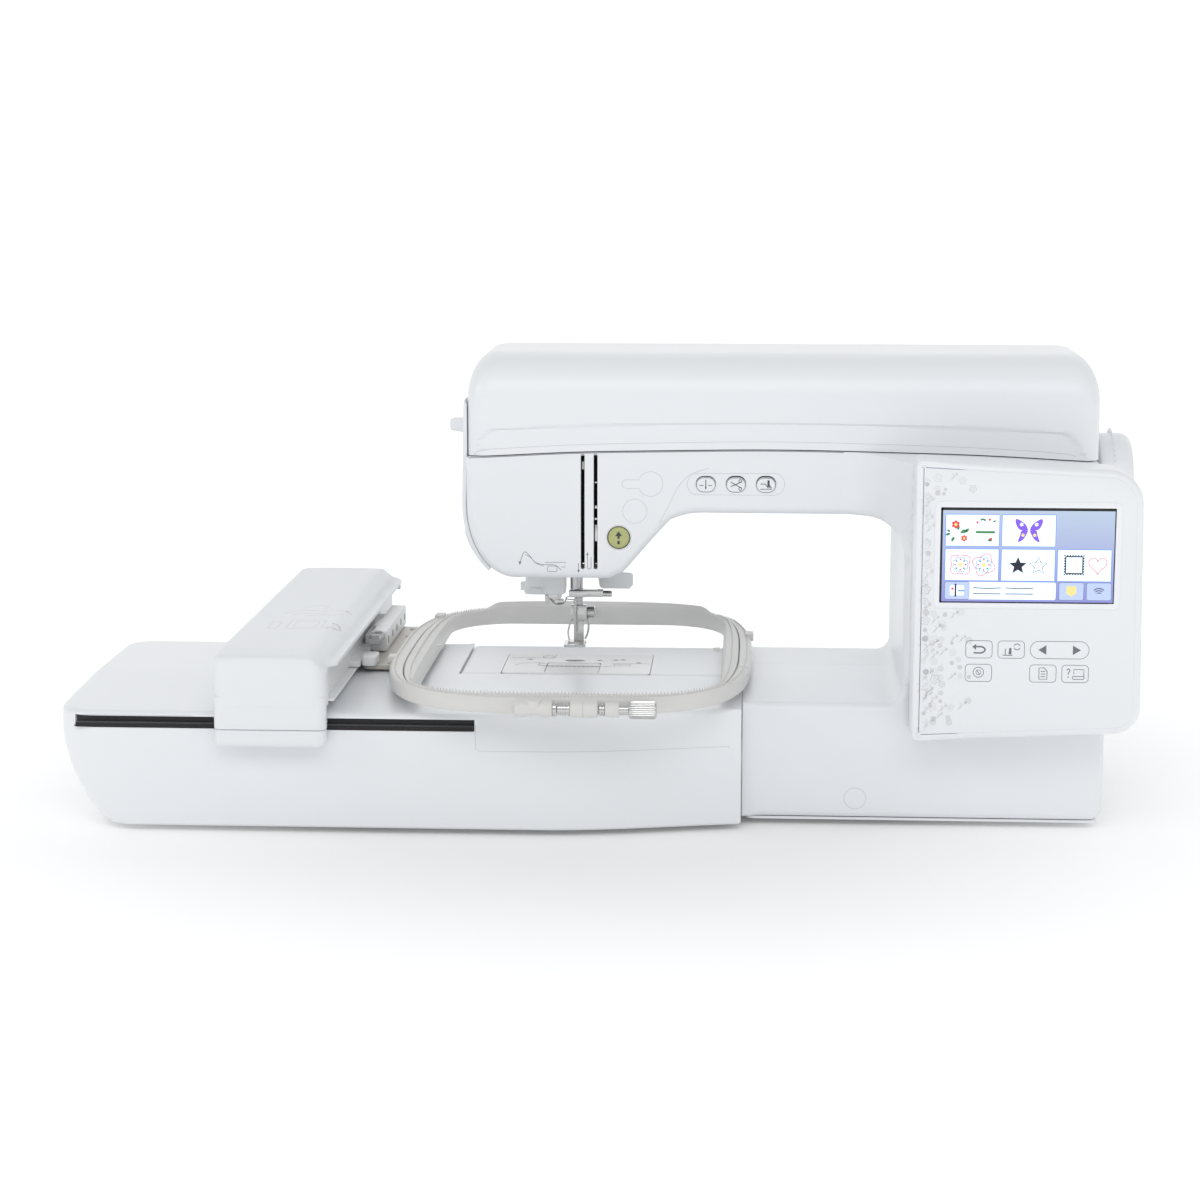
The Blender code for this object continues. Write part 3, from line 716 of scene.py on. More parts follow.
def printed(name, colour, lit=0.0):
    """A thin film of ink; lit where it belongs to the screen's picture."""
    made = Finish(name, colour, 0.4)
    speck = made.noise(2500.0, 2.0)
    made.tint(speck, shade(colour, 0.92))
    made.wear(speck, 0.1)
    if lit:
        made.set("Emission Color", (*colour, 1.0))
        made.set("Emission Strength", lit)
    return made.material


def lit_screen(name, top, bottom, low, high):
    """Backlit picture ground that deepens from top to bottom, z in metres."""
    made = Finish(name, (0.02, 0.02, 0.03), 0.12, coat_weight=0.6)
    height = made.node("ShaderNodeSeparateXYZ", None, {0: made.here}, out=2)
    fade = made.node("ShaderNodeMapRange", None, {0: height, 1: low, 2: high, 3: 0.0, 4: 1.0})
    glow = made.node("ShaderNodeMix", {"data_type": "RGBA"},
                     {0: fade, 6: (*bottom, 1.0), 7: (*top, 1.0)}, out=2)
    made.set("Emission Color", glow)
    made.set("Emission Strength", 0.8)
    made.wear(made.noise(3000.0, 1.0), 0.04)
    return made.material


def make_finishes():
    looks = bpy.context.scene.machine_looks
    white = looks.casing_colour
    hoop_tone = looks.hoop_colour
    inks = looks.ink_colour
    F.update({
        "white": moulded("casing_white", white, 0.30),
        "satin": moulded("arm_satin_white", shade(white, 0.98), 0.42, 0.000004),
        "fascia": moulded("fascia_white", shade(white, 0.985), 0.24),
        "bezel": moulded("bezel_white", shade(white, 1.03), 0.3),
        "grey": moulded("light_grey", (0.84, 0.845, 0.85), 0.42),
        "mid_grey": moulded("mid_grey", (0.36, 0.37, 0.38), 0.42),
        "frosted": moulded("frosted_grey", (0.93, 0.94, 0.95), 0.33),
        "start": clear("start_green", (0.58, 0.60, 0.26), 0.25, 0.15),
        "lamp": clear("lamp_lens", (0.95, 0.95, 0.92), 0.15, 0.5),
        "bracket": moulded("bracket_beige", (0.58, 0.56, 0.51), 0.4),
        "hoop": spark_textured("hoop_grey", hoop_tone, 0.42),
        "brush": felted("slot_pile", (0.012, 0.012, 0.013)),
        "black": moulded("black_plastic", (0.03, 0.03, 0.032), 0.45),
        "dark": moulded("slot_dark", (0.05, 0.05, 0.055), 0.6),
        "rubber": spark_textured("foot_rubber", (0.05, 0.05, 0.052), 0.8),
        "steel": brushed("satin_steel", (0.60, 0.60, 0.61), 0.3),
        "plate": brushed("plate_steel", (0.86, 0.86, 0.86), 0.38, (1, 30, 1), 0.5),
        "nickel": polished("bright_nickel", (0.66, 0.66, 0.65), 0.22),
        "casting": cast("die_casting", (0.45, 0.46, 0.47)),
        "motor": cast("motor_paint", (0.12, 0.12, 0.13)),
        "seam": printed("seam_shadow", (0.30, 0.31, 0.33)),
        # painted shade: grey lines that stand for the shade in grooves, gaps and creases
        "faint": printed("engraved_line", (0.60, 0.62, 0.65)),
        "ink": printed("ink_grey", inks),
        "ink_dark": printed("ink_dark", (0.05, 0.055, 0.06)),
        "petal": printed("print_light", (0.68, 0.68, 0.69)),
        "petal_dark": printed("print_mid", (0.54, 0.55, 0.57)),
        "screen": lit_screen("screen_ground", (0.62, 0.76, 0.95), (0.30, 0.33, 0.86),
                             LCD[2] * MM, LCD[3] * MM),
        "screen_black": printed("screen_border", (0.008, 0.008, 0.012)),
        "lcd_cell": printed("screen_cell", (0.62, 0.73, 0.85), 0.75),
        "lcd_line": printed("screen_line", (0.13, 0.22, 0.85), 0.6),
        "lcd_key": printed("screen_key", (0.40, 0.48, 0.72), 0.5),
        "lcd_dark": printed("screen_dark", (0.01, 0.012, 0.03), 0.1),
        "lcd_red": printed("screen_red", (0.62, 0.05, 0.05), 0.5),
        "lcd_green": printed("screen_green", (0.06, 0.20, 0.07), 0.4),
        "lcd_violet": printed("screen_violet", (0.18, 0.08, 0.62), 0.55),
        "lcd_gold": printed("screen_gold", (0.75, 0.60, 0.22), 0.5),
    })


F = {}
CAD_FINISHES = {
    "white": ("bottom_plate", "free_arm_cover", "spool_pin", "threader_lever"),
    "casting": ("cast_frame",), "motor": ("motor",), "black": ("power_inlet", "power_switch",
                                                               "bobbin_case"),
    "steel": ("main_shaft", "motor_pulley", "lower_shaft", "hook", "needle_bar", "presser_bar",
              "unit_x_rail", "arm_y_rail", "bobbin_winder"),
    "brush": ("slot_brush", "drive_belt"), "nickel": ("take_up_lever", "needle"),
    "grey": ("bobbin_cover",), "lamp": ("led_lamp",),
}


# Machine casings ----------------------------------------------------------

def seam_z(x):
    """Height of the gently arched seam under the lid."""
    return sum(graph(SEAM_ARCH, x + k * 12.0) for k in range(-3, 4)) / 7


def bed_drop(y):
    return SLOPE_DROP * max(0.0, CREASE_Y - y) / (CREASE_Y - UNIT_FRONT)


def machine_outline():
    """Base, pillar, arm and head from the front, anticlockwise."""
    throat, foot, base = 19.0, 9.0, 9.0
    return fine([(SEAM_X, COVER_Z)] + arc(RIGHT_X - base, COVER_Z + base, base, base, -90, 0, 6)
                + arc(RIGHT_X - 4, LID_Z - 4.4, 4, 4, 0, 90, 5) + arc(HEAD_LEFT + 1.4, LID_Z - 1.8, 1.4,
                                                                      1.4, 90, 180, 3)
                + arc(NOSE_LEFT, 200, 32, 48.5, 180, 268, 14)
                + arc(NOSE_RIGHT - 7, NOSE_Z + 7, 7, 7, -90, -49, 4)
                + wave([(36, 156.0), (63, 187.0), (70.5, 192.6), (82, UNDERSIDE_Z),
                        (95, UNDERSIDE_Z + 0.3)], 5)
                + arc(PILLAR_X - throat, UNDERSIDE_Z - throat, throat, throat, 90, 0, 12)
                + arc(PILLAR_X - foot, BED_Z + foot, foot, foot, 0, -90, 8) + [(SEAM_X, BED_Z)], 5.0)


def machine_front(x, z):
    """Depth of the front: the arm's face sweeps forward into the pillar and the base."""
    reach = BASE_FRONT - HEAD_FRONT
    sweep = min(1.0, max(0.0, (x - 176.0) / 45.0)) ** 2.3
    pillar = ease((194.0 - z) / 22.0) if x > 110 else 0.0
    lean = 0.10 * max(0.0, z - CREASE_Z) if z < BED_Z + 12 else 0.0
    tuck = 0.0018 * max(0.0, 36.0 - z) ** 2
    crown = 1.2 * (1 - ((x - 60.0) / 140.0) ** 2) if x < 176 else 0.0
    belly = max(0.0, crown) * math.sin(math.pi * min(1.0, max(0.0, (z - 150.0) / 86.0)))
    share = max(sweep, pillar)
    return HEAD_FRONT + reach * share + (lean + tuck) * share - belly * (1 - share)


def bend_machine(p):
    """The bed's slope and the arched top edge."""
    x, y, z = p
    if z < BED_Z + 10 and x < PILLAR_X + 2 and y < CREASE_Y:
        weight = min(1.0,
                     max(0.0, (z - CREASE_Z) / (BED_Z - CREASE_Z))) if z < BED_Z else (BED_Z + 10 - z) / 10
        z -= bed_drop(y) * weight * ease((PILLAR_X + 2 - x) / 10)
    if z > 200:
        z += (seam_z(x) - LID_Z) * ease((z - 200.0) / (LID_Z - 200.0))
    return Vector((x, y, z))


def casing_radius(u, v):
    """Edges are soft except at the joint with the embroidery unit and under the lid."""
    if v > LID_Z - 8:
        return 1.0
    return 0.9 + 4.3 * ease((u - SEAM_X) / 14.0) if v < BED_Z + 1 and u < 150 else 5.2


def front_walls():
    crease = (lambda front: max(front + 0.6, CREASE_Y) if front < CREASE_Y else front + 9.0)
    return (lambda front: max(front + 12.0, -20.0), crease)


def machine_front_shell():
    holes = [circle(START[0], START[1], START[2] + 0.5, 40)]
    holes += [pill(x, 0.15) for x in PILLS.values()]
    for x in SLOTS_X:
        holes.append(fine(rounded(x - 1.3, x + 1.3, 158, 235.4, 1.2, 3), 4.0))
    bm = relief(machine_outline(), "y", machine_front, SPLIT_Y, casing_radius, 5.0, -1, holes,
                front_walls())
    shell = piece("front_shell", bm, "white", stands_for=("front_cover", "base_front_cover"),
                  wall=sizes().wall / MM, bend=bend_machine)
    carve(shell, (SEAM_X - 3, SEAM_X + 5, -40, 44, 30, 76), (HEAD_LEFT - 4, HEAD_LEFT + 4, -13.4, -6.6, 188,
                                                             LID_Z + 3),
          (NOSE_LEFT + 5, NOSE_RIGHT - 5, -46, 44, NOSE_Z - 5, NOSE_Z + 5))


def pill(x, grow=0.0):
    return rounded(x - 6.5 - grow, x + 6.5 + grow, BUTTON_Z - 5 - grow, BUTTON_Z + 5 + grow, 4.9 + grow, 8)


def machine_rear_shell():
    bm = relief(machine_outline(), "y", lambda x, z: BACK - 0.0016 * max(0.0, 40.0 - z) ** 2, SPLIT_Y + 0.3,
                casing_radius, 8.0, 1, walls=(lambda front: 20.0, lambda front: 44.0))
    shell = piece("rear_shell", bm, "white", stands_for="rear_cover", wall=sizes().wall / MM,
                  bend=bend_machine)
    hub = bmesh.new()
    add_turned(hub, "x", (0, SHAFT_Z), [(RIGHT_X - 6, 7.5), (RIGHT_X + 4, 7.5)])
    carve(shell, (SEAM_X - 3, SEAM_X + 5, -40, 44, 30, 76), (RIGHT_X - 5, RIGHT_X + 3, 14.0, 40.0, 24.0,
                                                             46.0),
          (RIGHT_X - 5, RIGHT_X + 3, 15, 33, 53.5, 67.5), (NOSE_LEFT + 5, NOSE_RIGHT - 5, -46, 44,
                                                           NOSE_Z - 5, NOSE_Z + 5),
          hub)


def lid_mask(x, z):
    """1 inside the recessed band along the lid's lower front."""
    top = 253.0 + 1.5 * math.sin(math.pi * (x + 60) / 400)
    left, right = -63.0, 336.0
    drop = 16.0 * (max(0.0, (left + 14 - x) / 14) ** 2.2 + max(0.0, (x - right + 16) / 16) ** 2.2)
    return ease((top - drop - z) / 1.4 + 0.5)


def lid_shell():
    r = 15.0
    heights = [LID_Z + 0.3] + [LID_Z + 1.0 + 1.35 * i for i in range(16)]
    heights += [LID_Z + 24 + 3.5 * i for i in range(4)]
    profile = [(z, 0.0, 0.0) for z in heights]
    base = heights[-1]
    for i in range(1, 15):
        turn = math.pi / 2 * i / 14
        profile.append((base + (TOP_Z - base) * math.sin(turn), 17.0 * (1 - math.cos(turn)),
                        30.0 * (1 - math.cos(turn)) + 1.5 * i / 14))
    outer = []
    x0, x1, y0, y1 = HEAD_LEFT + 0.3, RIGHT_X - 0.8, HEAD_FRONT - 2.2, BACK
    for z, dx, dy in profile:
        corner = max(6.0, r - 0.3 * dx)
        flat = fine(rounded(x0 + dx, x1 - dx, y0 + dy, y1 - 0.7 * dy, corner, 9), 6.0)
        outer.append((z, flat))
    rings = []
    for z, flat in outer:
        flat = resampled(flat, 360)
        ring = []
        for x, y in flat:
            facing = ease((-40.0 - y) / 12.0)
            y += LID_BAND * lid_mask(x, z) * facing
            t = (z - LID_Z) / (TOP_Z - LID_Z)
            ring.append((x, y, z + (seam_z(x) - LID_Z) * (1 - t)))
        rings.append(ring)
    bm = bmesh.new()
    layers = [[bm.verts.new(p) for p in ring] for ring in rings]
    for low, high in zip(layers, layers[1:]):
        bridge(bm, low, high)
    top = [(v.co.x, v.co.y) for v in layers[-1]]
    cap(bm, layers[-1], top, "z", lambda x, y: layers[-1][0].co.z, 9.0)
    piece("lid_shell", bm, "white", body="lid", stands_for="lid", wall=sizes().wall / MM)

    lid_groove(y0)


def lid_groove(front):
    """The thin line along the foot of the lid."""
    def lay(x, above, lift):
        t = (above - 0.3) / (TOP_Z - LID_Z)
        return (x, front + LID_BAND - lift, LID_Z + above + (seam_z(x) - LID_Z) * (1 - t))
    bm = bmesh.new()
    groove = [(-61.5, 0.6), (-61.0, 2.6), (-58.0, 3.8)]
    groove += [(x, 4.2 + 1.2 * math.sin(math.pi * (x + 60) / 390)) for x in range(-50, 318, 8)]
    groove += [(326, 3.8), (330, 2.6)]
    add_line(bm, lay, groove, 0.3)
    piece("lid_groove", bm, "faint", "lid")


def resampled(outline, count):
    """The closed outline as a fixed number of even steps that start at its first point."""
    lengths = [math.dist(a, b) for a, b in zip(outline, outline[1:] + outline[:1])]
    total, out, i, gone = sum(lengths), [], 0, 0.0
    for k in range(count):
        goal = total * k / count
        while gone + lengths[i] < goal:
            gone += lengths[i]
            i += 1
        t = (goal - gone) / lengths[i]
        a, b = outline[i], outline[(i + 1) % len(outline)]
        out.append((a[0] + (b[0] - a[0]) * t, a[1] + (b[1] - a[1]) * t))
    return out


def lay_front(u, v, lift):
    """A point on the machine's front face, lifted off it."""
    p = bend_machine(Vector((u, machine_front(u, v), v)))
    return (p.x, p.y - lift, p.z)


def head_details():
    """Face cover, thread cutter, lid hinge button, thread channels and engraved lines."""
    bm = bmesh.new()
    outer = arc(NOSE_LEFT, 200, 35.4, 52.0, 180, 240, 16)
    inner = arc(NOSE_LEFT, 200, 32.6, 49.2, 240, 180, 16)
    strip = [(NOSE_LEFT - 31.8, 266.0), (NOSE_LEFT - 33.4, 269.0), (NOSE_LEFT - 34.0, 266.0),
             (NOSE_LEFT - 34.4, 250)]
    add_prism(bm, fine(strip + outer + inner + [(NOSE_LEFT - 31.8, 233.5)], 5.0), "y", -54, 50, 0.4)
    cover = piece("face_cover_plate", bm, "white", stands_for="face_cover")
    carve(cover, (HEAD_LEFT - 8, HEAD_LEFT + 6, -13.2, -6.8, 186, 262))
    bm = bmesh.new()
    band = arc(NOSE_LEFT, 200, 38.8, 55.4, 202, 224, 10) + arc(NOSE_LEFT, 200, 35.8, 52.4, 224, 202, 10)
    add_prism(bm, band, "y", -36, -20, 0.8)
    piece("cutter_guard", bm, "white", stands_for="thread_cutter")
    bm = bmesh.new()
    for x in SLOTS_X:
        add_box(bm, x - 2.2, x - 1.0, HEAD_FRONT + 1.0, HEAD_FRONT + 14, 160, 232, 0.2)
        add_box(bm, x + 1.0, x + 2.2, HEAD_FRONT + 1.0, HEAD_FRONT + 14, 160, 232, 0.2)
        add_box(bm, x - 2.2, x + 2.2, HEAD_FRONT + 14, HEAD_FRONT + 15.4, 160, 232, 0.2)
    piece("thread_channels", bm, "dark")
    bm = bmesh.new()
    add_line(bm, lay_front, [(x, LID_Z - 0.9) for x in range(-66, 182, 6)], 0.5)
    piece("lid_seam_shadow", bm, "seam")
    bm = bmesh.new()
    x = SLOTS_X[1]
    for z0, z1, back in ((176, 187, 5), (190.5, 192, 3), (198, 200, 4), (215, 216, 3)):
        add_box(bm, x - 0.8, x + 0.8, HEAD_FRONT + back, HEAD_FRONT + 12, z0, z1, 0.2)
    piece("take_up_glints", bm, "nickel")
    front_print()


def front_print():
    """Embossed outlines and the small threading drawing on the front."""
    bm = bmesh.new()
    # painted shade: the grey rings and outlines round the keyhole, the buttons and a crease stand for the
    # shade along embossed edges
    keyhole = [(35.2 + 2.8, 212.2)] + arc(53.9, 215, 8.1, 8.0, 200, 520, 30) + [(38.0, 217.8)] + arc(
        38.0, 215, 2.8, 2.8, 90, 270, 8)
    add_line(bm, lay_front, keyhole, 0.28, closed=True)
    add_line(bm, lay_front, circle(43.6, 197.2, 8.0, 36), 0.28, closed=True)
    add_line(bm, lay_front, circle(START[0], START[1], START[2] + 1.1, 40), 0.3, closed=True)
    add_line(bm, lay_front, rounded(78, 141.6, 208.2, 221.8, 6.7, 8), 0.28, closed=True)
    add_line(bm, lay_front, wave([(59.6, 189.3), (66, 201), (72, 213), (80, 221), (92, 225)], 6), 0.3)
    add_line(bm, lay_front, circle(188.6, 19.3, 7.0, 32), 0.3, closed=True)
    piece("front_embossing", bm, "faint")
    bm = bmesh.new()
    add_line(bm, lay_front, wave([(-32.3, 162.4), (-29.6, 169.2), (-26.1, 167), (-22.6, 162.7),
                                  (-16.9, 160.9),
                                  (-11.2, 160.9), (-7.7, 159.9), (-5.2, 157.4)], 5), 0.34)
    add_line(bm, lay_front, wave([(-29.0, 167.6), (-25.4, 165.6), (-21.4, 161.6), (-16.6, 159.9)], 5), 0.26)
    add_line(bm, lay_front, rounded(-14.1, -7.9, 156.4, 160.0, 0.8, 3), 0.28, closed=True)
    add_line(bm, lay_front, [(-15.8, 162.4), (-2.0, 162.6), (-3.0, 158.8), (-5.0, 159.8)], 0.28)
    add_fill(bm, lay_front, [(-33.4, 163.0), (-32.6, 160.6), (-31.4, 162.8)])
    add_line(bm, lay_front, [(6.4, 162.0), (6.4, 157.0)], 0.4)
    add_fill(bm, lay_front, [(5.6, 157.6), (6.4, 155.6), (7.2, 157.6)])
    add_line(bm, lay_front, [(12.3, 168.0)] + arc(13.5, 159.4, 1.2, 1.2, 180, 360, 8) + [(14.7, 166.2)],
             0.3)
    add_fill(bm, lay_front, [(11.6, 167.6), (12.3, 169.6), (13.0, 167.6)])
    piece("threading_drawing", bm, "ink")


def start_button():
    x, z, r = START
    bm = bmesh.new()
    add_turned(bm, "y", (x, z), [(HEAD_FRONT + 6, r - 0.2), (HEAD_FRONT - 1.2, r - 0.2),
                                 (HEAD_FRONT - 2.0, r - 0.8),
                                 (HEAD_FRONT - 2.4, r - 2.0), (HEAD_FRONT - 2.5, 0.4)], 40)
    piece("start_button_cap", bm, "start", "start_stop", "start_stop_button")

    def lay(u, v, lift):
        return (x + u, HEAD_FRONT - 2.5 - lift, z + v)
    bm = bmesh.new()
    add_fill(bm, lay, [(-0.7, -0.6), (0.7, -0.6), (0.7, 1.2), (2.3, 1.2), (0, 4.4), (-2.3, 1.2),
                       (-0.7, 1.2)])
    add_fill(bm, lay, rounded(-0.8, 0.8, -4.2, -1.9, 0.2, 2))
    piece("start_button_mark", bm, "ink_dark", "start_stop")


def pill_buttons():
    for name, x in PILLS.items():
        face = machine_front(x, BUTTON_Z)
        bm = relief(pill(x), "y", lambda u, v: face - 0.7, HEAD_FRONT + 6, 0.5, 2.5, -1, steps=3)
        bm.faces.new([v for v in bm.verts if abs(v.co.y - HEAD_FRONT - 6) < 1e-4][::-1])
        piece(name + "_cap", bm, "white", name, name)

        def lay(u, v, lift):
            return (x + u, face - 0.7 - lift, BUTTON_Z + v)
        bm = bmesh.new()
        add_line(bm, lay, [(p - x, q - BUTTON_Z) for p, q in pill(x, -0.35)], 0.3, closed=True)
        draw_pill_icon(bm, lay, name)
        piece(name + "_print", bm, "ink_dark", name)


def draw_pill_icon(bm, lay, name):
    if name == "needle_button":
        add_line(bm, lay, [(0, 3.4), (0, -2.2)], 0.55)
        add_fill(bm, lay, [(-0.6, -1.6), (0, -3.3), (0.6, -1.6)])
        add_line(bm, lay, [(-4.2, -0.4), (-1.5, -0.4)], 0.4)
        add_line(bm, lay, [(1.5, -0.4), (4.2, -0.4)], 0.4)
    elif name == "cutter_button":
        add_line(bm, lay, wave([(-3.4, 2.0), (0, 0.1), (3.6, -1.9)], 4), 0.5)
        add_line(bm, lay, wave([(-3.4, -1.0), (0, 0.3), (3.6, 2.3)], 4), 0.5)
        for u, v in ((2.6, 2.7), (2.6, -2.5)):
            add_line(bm, lay, circle(u + 0.3, v, 0.95, 12), 0.4, closed=True)
    else:
        add_line(bm, lay, [(-3.6, 0.8), (-0.4, 0.8), (1.2, -1.6), (3.8, -1.6)], 0.5)
        add_fill(bm, lay, [(0.9, 3.2), (2.3, 3.2), (2.3, 0.2), (3.4, -1.0), (0.9, -1.0)])
        add_line(bm, lay, [(-3.8, -2.6), (3.8, -2.6)], 0.4)


# Panel --------------------------------------------------------------------

def panel_outline(shrink=0.0):
    x0, x1, z0, z1 = PANEL
    taper = 5.5
    flat = (arc(x0 + 4, z0 + 4, 4, 4, 180, 275, 5) + arc(x1 - 17, z0 + taper + 17, 17, 17, -88, -2, 9)
            + arc(x1 - 24, z1 - taper - 22, 22, 22, 2, 86, 9) + arc(x0 + 4, z1 - 4, 4, 4, 92, 180, 5))
    flat = fine(flat, 6.0)
    return inset(flat, shrink) if shrink else flat


def lay_panel(u, v, lift):
    return (u, PANEL_FRONT - lift, v)


def panel():
    def radius(u, v):
        return 1.6 if u < PANEL[0] + 12 else 5.0 - 2.0 * ease((PANEL[0] + 40 - u) / 30)
    bm = relief(panel_outline(), "y", lambda x, z: PANEL_FRONT + 0.5, PANEL_BACK, radius, 8.0, -1,
                holes=[panel_outline(4.2)], walls=(lambda front: front + 14,))
    piece("panel_shell", bm, "white", stands_for="panel_housing", wall=sizes().wall / MM)
    a, b, c, d = LCD
    window = fine(rounded(a - 0.3, b + 0.3, c - 0.3, d + 0.3, 0.6, 2), 6.0)
    bm = relief(panel_outline(4.6), "y", lambda x, z: PANEL_FRONT, PANEL_FRONT + 1.4, 0.35, 8.0, -1,
                holes=[window], steps=3)
    piece("fascia_plate", bm, "fascia", stands_for="panel_fascia", wall=1.0)
    bm = bmesh.new()
    outer, inner = rounded(a - 3.6, b + 3.6, c - 3.6, d + 3.6, 3.4, 6), rounded(a, b, c, d, 0.8, 6)
    add_loft(bm, [[to_space("y", u, v, w) for u, v in inset(outer, k)] for w, k in
                  ((PANEL_FRONT + 0.2, 0), (PANEL_FRONT - 0.5, 0.2), (PANEL_FRONT - 0.8, 0.7))]
             + [[to_space("y", u, v, w) for u, v in inner] for w in (PANEL_FRONT - 0.5, PANEL_FRONT + 0.2)],
             closed=True)
    piece("screen_bezel", bm, "bezel")
    screen_picture()
    panel_keys()
    panel_print()


def screen_picture():
    """The lit picture: plain cells with simple flowers, a butterfly, marks and keys."""
    a, b, c, d = LCD
    face = PANEL_FRONT + 0.3

    def lay(u, v, lift):
        return (u, face - lift, v)
    bm = bmesh.new()
    add_prism(bm, rounded(a + 0.1, b - 0.1, c + 0.1, d - 0.1, 0.3, 1), "y", face, PANEL_FRONT + 1.3, 0.1, 1)
    piece("screen_glass", bm, "screen", stands_for="lcd_screen")
    bm = bmesh.new()
    for box in ((a, b, d - 2.0, d), (a, b, c, c + 0.9), (a, a + 1.6, c, d), (b - 1.0, b, c, d)):
        add_fill(bm, lay, rounded(box[0] + 0.15, box[1] - 0.15, box[2] + 0.1, box[3] - 0.1, 0.2, 1), 0.03)
    piece("screen_border", bm, "screen_black")
    cells = [(a + 3.2 + i * 34.7, a + 36.4 + i * 34.7, d - 4.4 - 20.0 - j * 21.6, d - 4.4 - j * 21.6)
             for j in range(2) for i in range(3)]
    draw = {key: bmesh.new() for key in ("lcd_cell", "lcd_line", "lcd_key", "lcd_dark", "lcd_red",
                                         "lcd_green", "lcd_violet", "lcd_gold")}
    for i, (x0, x1, z0, z1) in enumerate(cells):
        if i == 2:
            continue
        add_fill(draw["lcd_cell"], lay, rounded(x0, x1, z0, z1, 0.2, 1), 0.04)
        add_line(draw["lcd_line"], lay, rounded(x0, x1, z0, z1, 0.2, 1), 0.45, closed=True, film=0.07)
    low = c + 2.2
    add_fill(draw["lcd_cell"], lay, rounded(a + 3.4, a + 72, low, low + 11.0, 1.2, 3), 0.04)
    for x0 in (a + 3.4, a + 74.0, a + 91.0):
        add_fill(draw["lcd_key"], lay, rounded(x0, x0 + 15.2, low, low + 11.0, 1.2, 3), 0.07)
        add_line(draw["lcd_dark"], lay, rounded(x0, x0 + 15.2, low, low + 11.0, 1.2, 3), 0.16, closed=True,
                 film=0.09)
    draw_cells(draw, lay, cells, a, low)
    for key, bm in draw.items():
        piece(key + "_marks", bm, key)


def cell_pens(draw, lay):
    """Two pens that draw on the lit picture in one of its colours."""
    def fill(key, points, film):
        add_fill(draw["lcd_" + key], lay, points, film)

    def line(key, points, width, closed=False, film=0.1):
        add_line(draw["lcd_" + key], lay, points, width, closed, film)
    return fill, line


def draw_cells(draw, lay, cells, a, low):
    fill, line = cell_pens(draw, lay)
    corner = [(x0, z0) for x0, _, z0, _ in cells]
    draw_posy(fill, *corner[0], cells[0][3])
    draw_butterfly(fill, *cells[1])
    draw_rosettes(fill, line, *corner[3])
    draw_stars(fill, line, *corner[4])
    draw_borders(fill, line, *corner[5])
    draw_keys(fill, line, a, low)


def draw_posy(fill, x0, z0, z1):
    """Flowers, leaves and a twig."""
    for u, v, r in ((x0 + 6.2, z1 - 6.4, 2.7), (x0 + 11.5, z0 + 5.0, 2.1)):
        fill("red", flower(u, v, r, 6, 0.25), 0.10)
        fill("gold", circle(u, v, r * 0.36, 10), 0.13)
    for u, v, angle, size in ((x0 + 3, z0 + 8, 200, 3.2), (x0 + 5.5, z0 + 6, 240, 3.6),
                              (x0 + 9, z0 + 8.5, 20, 4.6),
                              (x0 + 12, z0 + 8.5, 50, 3.6), (x0 + 8, z0 + 10, 100, 4.0),
                              (x0 + 3, z0 + 9, 150, 2.6),
                              (x0 + 21, z1 - 3.6, 20, 2.6), (x0 + 25, z1 - 3.8, 160, 2.6),
                              (x0 + 29, z1 - 4.8, 30, 2.2),
                              (x0 + 26, z0 + 3.6, 30, 2.8), (x0 + 29, z0 + 4.2, 200, 2.6)):
        fill("green", leaf(u, v, size, size * 0.5, angle, 5), 0.09)
    fill("green", rounded(x0 + 18.5, x0 + 30.5, z0 + 8.2, z0 + 9.6, 0.3, 1), 0.09)
    for u, v in ((x0 + 19.5, z1 - 5.0), (x0 + 27, z1 - 3.2), (x0 + 28, z0 + 4.8)):
        fill("red", flower(u, v, 0.9, 5, 0.3, 4), 0.11)


def draw_butterfly(fill, x0, x1, z0, z1):
    """A butterfly with spotted wings."""
    mid, up = (x0 + x1) / 2, (z0 + z1) / 2
    for side in (-1, 1):
        wing = wave([(0.4, 0.2), (2.4, 4.2), (7.6, 7.4), (8.2, 4.6), (5.6, 0.6), (0.4, 0.2)], 5)
        tail = wave([(0.4, 0.0), (4.4, 0.0), (5.4, -3.0), (6.6, -7.0), (3.2, -5.2), (0.4, 0.0)], 5)
        for shape in (wing, tail):
            points = [(mid + side * u, up + v) for u, v in shape[:-1]]
            fill("violet", points[::side], 0.10)
        fill("cell", flower(mid + side * 4.6, up + 3.9, 1.3, 5, 0.3, 4), 0.13)
        fill("gold", flower(mid + side * 3.6, up - 2.8, 1.2, 5, 0.3, 4), 0.13)


def draw_rosettes(fill, line, x0, z0):
    """Two round lace patterns."""
    for k, u in enumerate((x0 + 9.5, x0 + 24.0)):
        line("red", flower(u, z0 + 10, 7.4, 4, 0.28, 8, 0.4 * k), 0.4, True)
        line("line", flower(u, z0 + 10, 5.0, 8, 0.2, 5), 0.35, True)
        for n in range(8):
            t = math.pi * n / 4
            fill(("red", "green")[n % 2],
                 circle(u + 3.2 * math.cos(t), z0 + 10 + 3.2 * math.sin(t), 0.55, 8), 0.11)
        fill("gold", circle(u, z0 + 10, 1.3, 12), 0.11)


def draw_stars(fill, line, x0, z0):
    """A solid star and an outlined one."""
    for k, u in enumerate((x0 + 10.4, x0 + 23.0)):
        tips = [(5.6 if n % 2 == 0 else 2.5, math.pi * n / 5) for n in range(10)]
        star = [(u + r * math.sin(t), z0 + 9.6 + r * math.cos(t)) for r, t in tips][::-1]
        if k == 0:
            fill("dark", star, 0.10)
        else:
            line("dark", star, 0.4, True)


